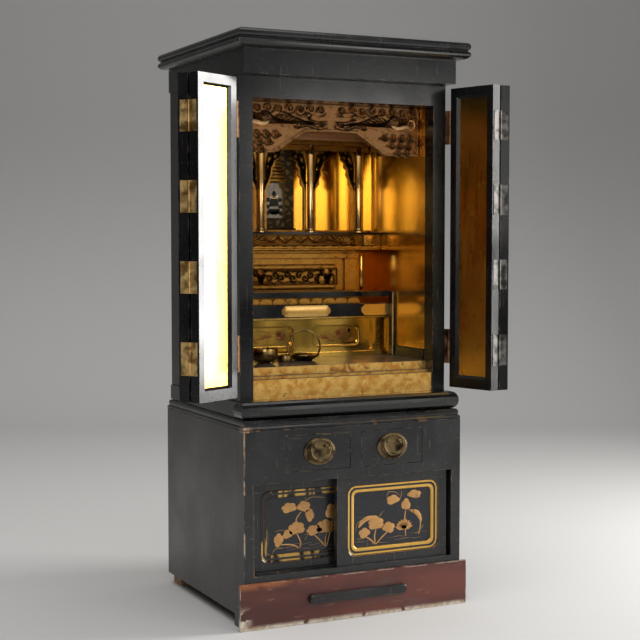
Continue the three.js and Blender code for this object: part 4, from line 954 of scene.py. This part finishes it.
def transom():
    """Cloud scrolls, two ribbon-tailed birds and rows of waves, laid over the pierced board."""
    low, high = extent("carved_transom")
    face = TRANSOM_FACE
    top = high.z
    left = low.x
    lobe_top, lobe_foot = low.z + 46, low.z + 8
    bm = bmesh.new()

    def pair(path, width, rise, section=GROOVED, blunt=0.15):
        stroke(bm, path, width, face, rise, section, blunt)
        stroke(bm, mirrored(path), width, face, rise, section, blunt)

    # clouds along the top, linked by low swags
    spacing = 26.5
    for i in range(8):
        x, z = left + 19 + spacing * i, top - 12 - 3 * (i % 2)
        pair(curl_path(x, z, 10.5, 200, 1.4, -1), 2.7, 6.5)
        swag = [(x - 12, z - 6), (x - 3, z - 12.5), (x + 8, z - 11), (x + 15, z - 4)]
        pair(flow(swag, 9), 2.3, 5.0)
    # waves in the lobes: each a curl over a hooked crest
    for row in range(3):
        for i in range(4 - row):
            x = left + 22 + 23 * i + 5 * row
            z = lobe_top - 4 - 17 * row
            pair(curl_path(x, z, 8.6, 150, 1.3, -1), 2.4, 6.5)
            pair(flow([(x - 10, z - 6), (x - 1, z - 9.5), (x + 10, z - 5), (x + 13, z + 2)], 8), 2.0, 5.0)
    # feathers of the birds: ribbons that stream towards the middle
    shoulder = (left + 48, low.z + 62)
    for k in range(7):
        rise = 4 + 5.2 * k
        reach = 150 - 13 * k
        ribbon = [shoulder, (shoulder[0] + 0.25 * reach, shoulder[1] + 0.9 * rise),
                  (shoulder[0] + 0.55 * reach, shoulder[1] + 0.35 * rise + 3),
                  (shoulder[0] + 0.8 * reach, shoulder[1] + 0.75 * rise + 4),
                  (shoulder[0] + reach, shoulder[1] + 0.6 * rise)]
        pair(flow(ribbon, 18), 3.0 - 0.15 * k, 7.5 - 0.4 * k)
    # bodies, wings and heads
    back = [(left + 20, low.z + 60), (left + 36, low.z + 68), (left + 58, low.z + 64),
            (left + 76, low.z + 70)]
    pair(flow(back, 12), 7.5, 8.5, ROUNDED, 0.35)
    for k in range(5):
        root = (left + 40 + 5 * k, low.z + 66)
        pair(flow([root, (root[0] - 4, root[1] + 10), (root[0] - 12 + 2 * k, root[1] + 22)], 8), 2.6, 8.0)
    neck = [(left + 24, low.z + 60), (left + 14, low.z + 70), (left + 18, low.z + 82),
            (left + 28, low.z + 84)]
    pair(flow(neck, 10), 3.6, 8.0, ROUNDED, 0.5)
    for k in range(6):
        t = k / 5
        pair([(left + 12 + 12 * t, low.z + 78 - 18 * t), (left + 17 + 12 * t, low.z + 80 - 16 * t),
              (left + 22 + 12 * t, low.z + 78 - 18 * t)], 1.6, 9.0, ROUNDED)
    # streams over the arch, meeting in the middle
    for k in range(4):
        z = low.z + 56 + 6.0 * k
        stream = [(MIDDLE - 92 + 6 * k, z - 1), (MIDDLE - 62, z + 5), (MIDDLE - 34, z - 2),
                  (MIDDLE - 8, z + 4 - k)]
        pair(flow(stream, 14), 2.5, 6.5 - 0.5 * k)
    pair(curl_path(MIDDLE - 24, low.z + 66, 9, 30, 1.3), 2.3, 7.0)
    pair(curl_path(MIDDLE - 58, low.z + 84, 8.5, 190, 1.3, -1), 2.2, 6.0)
    pair(curl_path(MIDDLE - 84, low.z + 62, 7.5, 250, 1.2), 2.0, 6.0)
    # upright scroll bands at the ends
    for z0 in (low.z + 10, low.z + 56):
        band = [(left + 10, z0), (left + 4.5, z0 + 14), (left + 4.5, z0 + 28), (left + 11, z0 + 42)]
        pair(flow(band, 12), 2.4, 6.0)
        pair(curl_path(left + 9, z0 + 20, 5.5, 90, 1.2), 1.6, 5.5)
    made("transom_carving", bm, CARVED, "cabinet")

    # plain gold line over the black cusped edge
    bm = bmesh.new()
    edge = [(left + 2, lobe_foot - 6), (MIDDLE - 148, lobe_foot - 6), (MIDDLE - 134, lobe_foot - 2),
            (MIDDLE - 70, low.z + 50), (MIDDLE - 56, low.z + 53.5), (MIDDLE, low.z + 54)]
    for path in (edge, mirrored(edge)):
        stations = []
        for i, (x, z) in enumerate(path):
            ahead, behind = path[min(i + 1, len(path) - 1)], path[max(i - 1, 0)]
            along = Vector((ahead[0] - behind[0], 0, ahead[1] - behind[1])).normalized()
            stations.append((Vector((x, face, z)), Vector((-along.z, 0, along.x)) * 1.5, FORWARD * 4.5))
        sweep(bm, ROUNDED, stations)
    made("transom_edge_line", bm, CARVED, "cabinet")


transom()


# ---- palace front: columns and bracket ribs ----
COLUMN_X = (72, 207, 341, 475)
COLUMN_TOP = 1084
COLUMN_FOOT = [(0, 0.2), (10.9, 0.2), (10.9, 4), (9.6, 6.4), (9.9, 8), (8.4, 11)]      # above the foot
COLUMN_HEAD = [(8.4, 26), (9.4, 24), (9.4, 20), (8.4, 18), (8.4, 0.2), (0, 0.2)]       # below the top


def palace():
    """Gilded columns, and brown openwork ribs that branch from their heads over the brackets."""
    low, high = extent("palace_front")
    axis_y = low.y + 24
    shaft = COLUMN_FOOT + [(radius, COLUMN_TOP - low.z - drop) for radius, drop in COLUMN_HEAD]
    bm = bmesh.new()
    for x in COLUMN_X:
        turned(bm, shaft, (x, axis_y, low.z), 36)
    made("palace_columns", bm, COLUMN_GOLD, "cabinet")

    # openwork ribs over the brackets: stems that rise from the column and part into leaves
    bm = bmesh.new()
    face = axis_y + 2
    for x in COLUMN_X:
        for sign in (-1, 1):
            if not low.x - 2 < x + sign * 56 < high.x + 2:
                continue
            stems = [
                [(11, 974), (16, 1000), (15, 1030), (20, 1062)],
                [(15, 985), (24, 1012), (26, 1040), (40, 1068)],
                [(13, 1004), (19, 1020), (33, 1040), (34, 1056)],
                [(14, 1030), (24, 1040), (44, 1052), (54, 1072)],
            ]
            for path in stems:
                stroke(bm, flow([(x + sign * dx, z) for dx, z in path], 12), 2.0, face, 4.5, GROOVED)
            for dx, z, radius in ((26, 1061, 7), (23, 1037, 6), (18, 1012, 5), (42, 1064, 6), (13, 992, 4)):
                curl = curl_path(x + sign * dx, z, radius, 90, 1.2, -sign, 12)
                stroke(bm, curl, 1.5, face, 5.0, GROOVED)
    made("bracket_ribs", bm, BRACKET, "cabinet")


palace()


# ---- hanging scroll ----
SCROLL_WIDTH, SCROLL_LENGTH = 110, 214
HEAD_HEIGHT = 966      # of the figure's head and halo


def scroll():
    """Cloth between two rods, a picture with a plain seated figure on it, and a canopy before its head."""
    low, high = extent("hanging_scroll")
    face = high.y - 3.2
    bm = bmesh.new()
    sheet = bmesh.new()
    bmesh.ops.create_grid(sheet, x_segments=22, y_segments=44, size=0.5)
    size = Matrix.Diagonal((SCROLL_WIDTH, SCROLL_LENGTH, 1, 1))
    bmesh.ops.transform(sheet, matrix=size, verts=sheet.verts)
    for vert in sheet.verts:
        ripple = 0.5 * math.sin(vert.co.y / 31) + 0.25 * math.sin(vert.co.x / 17 + vert.co.y / 50)
        vert.co = Vector((MIDDLE + vert.co.x, face + ripple, (low.z + high.z) / 2 + vert.co.y))
    gather(bm, sheet)
    cloth = made("scroll_cloth", bm, BROCADE, "cabinet", ("hanging_scroll",))

    bm = bmesh.new()
    for half, z, radius in ((60, low.z + 4, 3.6), (57, high.z - 3, 2.6)):
        tube(bm, [(MIDDLE + share * half, face, z) for share in (-1, 0, 1)], radius, 16)
    rods = made("scroll_rods", bm, BRACKET, "cabinet")

    # picture ground, then the figure on a lotus with leaves beside it, and its halo
    bm = bmesh.new()
    front = face - 1.0
    picture_half, picture_low, picture_high = 30, 905, 992
    outline = rounded_outline(MIDDLE - picture_half, MIDDLE + picture_half, picture_low, picture_high, 1, 2)
    plate(bm, outline, front, 0.4)
    made("scroll_picture", bm, SCROLL_GOLD, "cabinet")
    bm = bmesh.new()
    front -= 0.4
    for outline in (lobed(MIDDLE, 926, 17, 14, 6, 180, 200), lobed(MIDDLE, 922, 24, 8, 8, 180, 180)):
        plate(bm, outline, front, 0.35)
    plate(bm, [around(MIDDLE, 934, 13, a / 8 * math.pi, 24) for a in range(9)], front, 0.5)
    turned(bm, [(0, 0.8), (4.6, 0.6), (5.4, 0)], (MIDDLE, front, HEAD_HEIGHT), 20, FORWARD, 1.25)
    for sign in (-1, 1):
        for lift in range(3):
            plate(bm, lobed(MIDDLE + sign * (20 - 2 * lift), 916 + 17 * lift, 6, 6, 4, 0), front, 0.3)
    made("scroll_figure", bm, SCROLL_DARK, "cabinet")
    bm = bmesh.new()
    halo = [around(MIDDLE, HEAD_HEIGHT, 12, a * math.pi / 16) for a in range(32)]
    tube(bm, [(x, front - 0.2, z) for x, z in halo], 0.5, 6, loop=True)
    made("scroll_halo", bm, GOLD, "cabinet")

    # stepped canopy that hangs in front of the scroll's head
    bm = bmesh.new()
    for k in range(7):
        half, z = 13 + 3.1 * k, 1058 - 9 * k
        block(bm, (MIDDLE - half, front - 7, z - 7.5), (MIDDLE + half, front - 0.6, z), 1.2)
    made("scroll_canopy", bm, OLD_GOLD, "cabinet")


scroll()


# ---- altar table: rayed fans, leaves and rope mouldings ----
TABLE_FACE = 317      # depth of the carved front


def table_front():
    """Rayed fans, arcs and leaves along the front, two rope mouldings under them and a black edge above."""
    low, high = extent("altar_table")
    face = TABLE_FACE
    heart = 839      # height that the fans spread from
    bm = bmesh.new()
    for side in (1, -1):
        centre = MIDDLE + side * 132
        for i in range(12):
            angle = math.radians(6 + 15 * i)
            reach = (78 if i > 5 else 30) * (0.55 + 0.45 * abs(math.cos(angle)))
            tip = around(centre, heart, side * reach, angle, 21.5)
            start = around(centre, heart, side * 5, angle, 3)
            bend = ((start[0] + tip[0]) / 2, (start[1] + tip[1]) / 2 + 2.2)
            stroke(bm, flow([start, bend, tip], 10), 1.7, face, 4.2, ROUNDED)
        for radius in (6, 10, 14):
            arc = [around(centre + side * 14, heart + 7, side * radius, math.radians(a), radius)
                   for a in range(-80, 81, 16)]
            stroke(bm, arc, 1.3, face, 4.4, ROUNDED)
        block(bm, (centre + side * 66 - 15, face - 5.5, 837), (centre + side * 66 + 15, face + 1, 862.5), 1.0)
        for k in range(3):
            corner = (centre + side * 54, 840)
            angle = math.radians(22 + 24 * k)
            leaf = [corner, around(*corner, side * 10, angle, 10), around(*corner, side * 22, angle, 20)]
            stroke(bm, flow(leaf, 8), 1.6, face - 5.2, 2.4, ROUNDED)
    for i in range(7):
        x, lean = MIDDLE - 60 + 20 * i, 1 if i % 2 else -1
        leaf = [(x - 9, 849 + 7 * lean), (x, 850), (x + 12, 849 - 7 * lean)]
        stroke(bm, flow(leaf, 10), 4.6, face, 3.2, GROOVED)
        stroke(bm, curl_path(x + 10, 855 - 8 * (i % 2), 5, 90, 1.1, lean), 1.2, face, 3.6, ROUNDED)
    made("table_carving", bm, TABLE_GOLD, "cabinet")

    bm = bmesh.new()
    bends, twist = 120, 0.9
    for z, radius in ((832.5, 3.6), (827.6, 2.6)):
        rope = []
        for i in range(bends + 1):
            x = low.x + 1 + (high.x - low.x - 2) * i / bends
            sway, lift = 0.35 * math.sin(twist * i), 0.45 * math.sin(twist * i + 1.5)
            rope.append((x, face - 0.8 + sway, z + lift))
        tube(bm, rope, radius, 10)
    made("table_mouldings", bm, TABLE_GOLD, "cabinet")

    bm = bmesh.new()
    block(bm, (low.x + 0.3, low.y - 0.4, 863.4), (high.x - 0.3, low.y + 6, high.z - 0.1), 0.8)
    made("table_edge", bm, LACQUER, "cabinet")


table_front()


# ---- pedestal under the table ----
def pedestal_front():
    """Curls between two waving lines, round mouldings above and below, and a leafy boss at each end."""
    front = extent("pedestal")[0].y + 10
    floor = front + 6
    heart = 760      # height of the middle of the frieze
    bm = bmesh.new()
    for i in range(13):
        x = MIDDLE - 96 + 16 * i
        z = heart + (3.5 if i % 2 else -3.5)
        stroke(bm, curl_path(x, z, 9.5, 90 + 40 * i, 1.3, 1 if i % 2 else -1), 1.9, floor, 5.0, GROOVED)
    for z in (747, 773):
        wave = [(MIDDLE - 104 + 208 * k / 16, z + (1.6 if k % 2 else -1.6)) for k in range(17)]
        stroke(bm, flow(wave, 64), 1.3, floor, 4.0, ROUNDED, 0.6)
    for z in (784, 735):
        tube(bm, [(MIDDLE + end, front + 3, z) for end in (-108, 0, 108)], 7.4, 20)
    made("pedestal_carving", bm, OLD_GOLD, "cabinet")

    bm = bmesh.new()
    for side in (-1, 1):
        x = MIDDLE + side * 90
        for ring, (count, reach) in enumerate(((9, 20), (7, 13), (4, 7))):
            for k in range(count):
                angle = 2 * math.pi * k / count + 0.4 * ring
                bend = around(x, heart, 0.6 * reach, angle + 0.35, 0.7 * reach)
                tip = around(x, heart, reach, angle, 1.15 * reach)
                leaf = flow([(x, heart), bend, tip], 8)
                stroke(bm, leaf, 4.0 - 0.6 * ring, front + 3, 7 + 3 * ring, GROOVED)
    made("pedestal_bosses", bm, RED_GOLD, "cabinet")


pedestal_front()


# ---- altar step: flowers in the sunk panels, gold mounts on the rail ----
DAISY_PETALS = 14
SUNK_PANELS = ((117, 248), (298, 429))      # left and right edge of each
END_PANEL_MIDDLES = (65, 481)


def daisy(bm, x, z, reach, y):
    """A round flower of narrow rays with a raised middle."""
    for k in range(DAISY_PETALS):
        angle = 2 * math.pi * k / DAISY_PETALS
        ray = flow([around(x, z, 2, angle), around(x, z, reach, angle)], 7)
        stroke(bm, ray, reach * 0.17, y, 3.6, ROUNDED)
    turned(bm, [(0, 4.2), (2.2, 3.6), (3.4, 2.0), (3.8, 0)], (x, y, z), 16, FORWARD)


def fan_leaf(bm, x, z, reach, turn, y):
    """Nine ribs that spread over 150 degrees, each with a short arc across its tip."""
    for k in range(9):
        angle = math.radians(turn - 75 + 150 * k / 8)
        rib = flow([(x, z), around(x, z, reach, angle, 0.8 * reach)], 8)
        stroke(bm, rib, reach * 0.10, y, 2.6, ROUNDED)
        inner = reach - 2
        arc = [around(x, z, inner, angle + lean, 0.8 * inner) for lean in (-0.14, 0, 0.14)]
        stroke(bm, arc, 1.3, y, 3.2, ROUNDED)


def step_front():
    """Flowers in the two sunk panels, the beads round them, curls at the ends and a gold lip on top."""
    low, high = extent("altar_step")
    front = low.y + 18
    floor = front + 9
    bm = bmesh.new()
    daisy(bm, 217, 620, 14.5, floor)
    fan_leaf(bm, 178, 612, 22, 100, floor)
    fan_leaf(bm, 146, 606, 15, 60, floor)
    stroke(bm, flow([(134, 628), (160, 632), (190, 628), (206, 634)], 14), 2.2, floor, 2.6, GROOVED)
    stroke(bm, flow([(224, 606), (196, 600), (160, 598), (130, 600)], 14), 1.6, floor, 2.4, GROOVED)
    fan_leaf(bm, 338, 606, 27, 70, floor)
    daisy(bm, 377, 620, 15, floor)
    stroke(bm, flow([(392, 606), (400, 616), (402, 628)], 8), 1.4, floor, 2.4, ROUNDED)
    for turn in (70, 90, 110):
        plate(bm, petal(402, 622, 15, 9, turn), floor - 0.6, 1.6, 0.3)
    fan_leaf(bm, 404, 600, 15, 100, floor)
    ground_line = [(312, 602), (330, 600), (352, 602), (390, 600), (416, 604)]
    stroke(bm, flow(ground_line, 14), 1.4, floor, 2.2, GROOVED)
    made("step_flowers", bm, RED_GOLD, "cabinet")

    bm = bmesh.new()
    inset = 1.5
    for x0, x1 in SUNK_PANELS:
        outline = rounded_outline(x0 + inset, x1 - inset, 591.5, 641.5, 13, 8)
        tube(bm, [(x, front + 2.4, z) for x, z in outline], 1.7, 8, loop=True)
    for x in END_PANEL_MIDDLES:
        for z in (598, 616, 634):
            stroke(bm, curl_path(x, z, 7.5, 90, 1.3, 1), 1.4, front + 3, 3.2, GROOVED)
    block(bm, (low.x + 0.4, low.y - 0.5, 659), (high.x - 0.4, low.y + 4, 664.2), 1.4)
    made("step_trim", bm, OLD_GOLD_EDGE, "cabinet")


def notched(x0, x1, z0, z1):
    """A long plate whose ends are round between two small notches."""
    half, middle = (z1 - z0) / 2, (z0 + z1) / 2
    outline = []
    for x, side in ((x1, 1), (x0, -1)):
        for i in range(13):
            angle = math.radians(-90 + 15 * i)
            bite = 3.2 * math.exp(-((abs(angle) - 0.75) / 0.16) ** 2)
            inward = half - half * math.cos(angle) + bite
            outline.append((x - side * inward, middle + side * half * math.sin(angle)))
    return outline


def rail_mounts():
    """Gold mounts on the rail: one in the middle, and one at each end that is cut square by the rail."""
    low, high = extent("step_rail")
    face = low.y + 0.1
    z0, z1 = 665.6, 692.9
    half_middle, end_reach, cut_off = 65.4, 124.4, 22
    start, end = low.x + 0.3, high.x - 0.3
    bm = bmesh.new()
    plate(bm, notched(MIDDLE - half_middle, MIDDLE + half_middle, z0, z1), face, 0.7, 0.25)
    for x0, x1 in ((start - cut_off, end_reach), (WIDTH - end_reach, end + cut_off)):
        outline = [(min(max(x, start), end), z) for x, z in notched(x0, x1, z0, z1)]
        plate(bm, outline, face, 0.7)
    made("rail_mounts", bm, RAIL_GOLD, "cabinet")


step_front()
rail_mounts()


# ---- gold beads on the cheeks ----
def cheek_beads():
    """A round bead up the front of each cheek post, and a flat strip higher up and further back."""
    low, high = extent("step_surround")
    bead_inset, bead_depth = 6.4, 239.6
    strip_off, strip_half = 186, 3.4
    bm = bmesh.new()
    for x in (low.x + bead_inset, high.x - bead_inset):
        tube(bm, [(x, bead_depth, z) for z in (567.5, 640, 723)], 1.9, 12)
    for x in (MIDDLE - strip_off, MIDDLE + strip_off):
        block(bm, (x - strip_half, 330, 726), (x + strip_half, 336, 812), 0.8)
    made("cheek_beads", bm, COLUMN_GOLD, "cabinet")


cheek_beads()


# ---- floor, backdrop and light ----
def studio():
    """One pale paper sweep, square to the camera: flat under the cabinet, curved up behind it, with painted shade
    that darkens it upward.
    """
    paper = Finish("studio_paper", (0.60, 0.59, 0.58), 0.85)
    height = paper.axis("Z")
    # painted shade: the paper is painted darker with height, for the light falling off up the backdrop
    paper.colour(paper.blend((0.66, 0.65, 0.635), (0.42, 0.415, 0.405), paper.span(height, 0.0, 1.6)))
    bend, back, reach, wide = 1.6, 4.6, 5.5, 14
    profile = [(-reach, 0), (back - bend, 0)]
    for i in range(1, 25):
        angle = math.pi / 2 * i / 24
        profile.append((back - bend + bend * math.sin(angle), bend - bend * math.cos(angle)))
    profile.append((back, 9))
    bm = bmesh.new()
    verts = [bm.verts.new((-wide, y, z)) for y, z in profile]
    edges = [bm.edges.new(pair) for pair in zip(verts, verts[1:])]
    grown = bmesh.ops.extrude_edge_only(bm, edges=edges)
    moved = [item for item in grown["geom"] if isinstance(item, bmesh.types.BMVert)]
    bmesh.ops.translate(bm, vec=(2 * wide, 0, 0), verts=moved)
    bmesh.ops.rotate(bm, cent=(0, 0, 0), matrix=Matrix.Rotation(VIEW_TURN, 3, "Z"), verts=bm.verts)
    mesh = bpy.data.meshes.new("paper_sweep")
    bm.to_mesh(mesh)
    bm.free()
    mesh.polygons.foreach_set("use_smooth", [True] * len(mesh.polygons))
    mesh.materials.append(paper.material)
    sweep_of_paper = bpy.data.objects.new("paper_sweep", mesh)
    bpy.context.scene.collection.objects.link(sweep_of_paper)


studio()


def softbox(name, place, aim, width, height, power, tint=(1, 1, 1)):
    """A soft rectangular light turned towards a place, in metres and watts."""
    data = bpy.data.lights.new(name, "AREA")
    data.shape = "RECTANGLE"
    data.size = width
    data.size_y = height
    data.energy = power
    data.color = tint
    lamp = bpy.data.objects.new(name, data)
    lamp.location = place
    lamp.rotation_euler = (Vector(aim) - Vector(place)).to_track_quat("-Z", "Y").to_euler()
    bpy.context.scene.collection.objects.link(lamp)


softbox("key", (2.55, -0.68, 1.1), (0, -0.2, 0.85), 0.9, 1.7, 84, (1.0, 0.99, 0.97))
softbox("front_right", (1.55, -3.0, 1.18), (0.1, 0, 0.95), 0.8, 0.62, 7.5, (1.0, 0.98, 0.95))
softbox("over_camera", (-1.35, -3.35, 1.42), (0.1, 0.1, 0.9), 1.3, 1.0, 16)
softbox("overhead", (-0.6, -0.6, 4.4), (0.0, 0.6, 0), 5.0, 5.5, 170)
world = bpy.data.worlds.new("studio_air")
world.use_nodes = True
world.node_tree.nodes["Background"].inputs["Color"].default_value = (0.5, 0.5, 0.51, 1)
world.node_tree.nodes["Background"].inputs["Strength"].default_value = 0.08
bpy.context.scene.world = world
bpy.context.scene.view_settings.view_transform = "Standard"
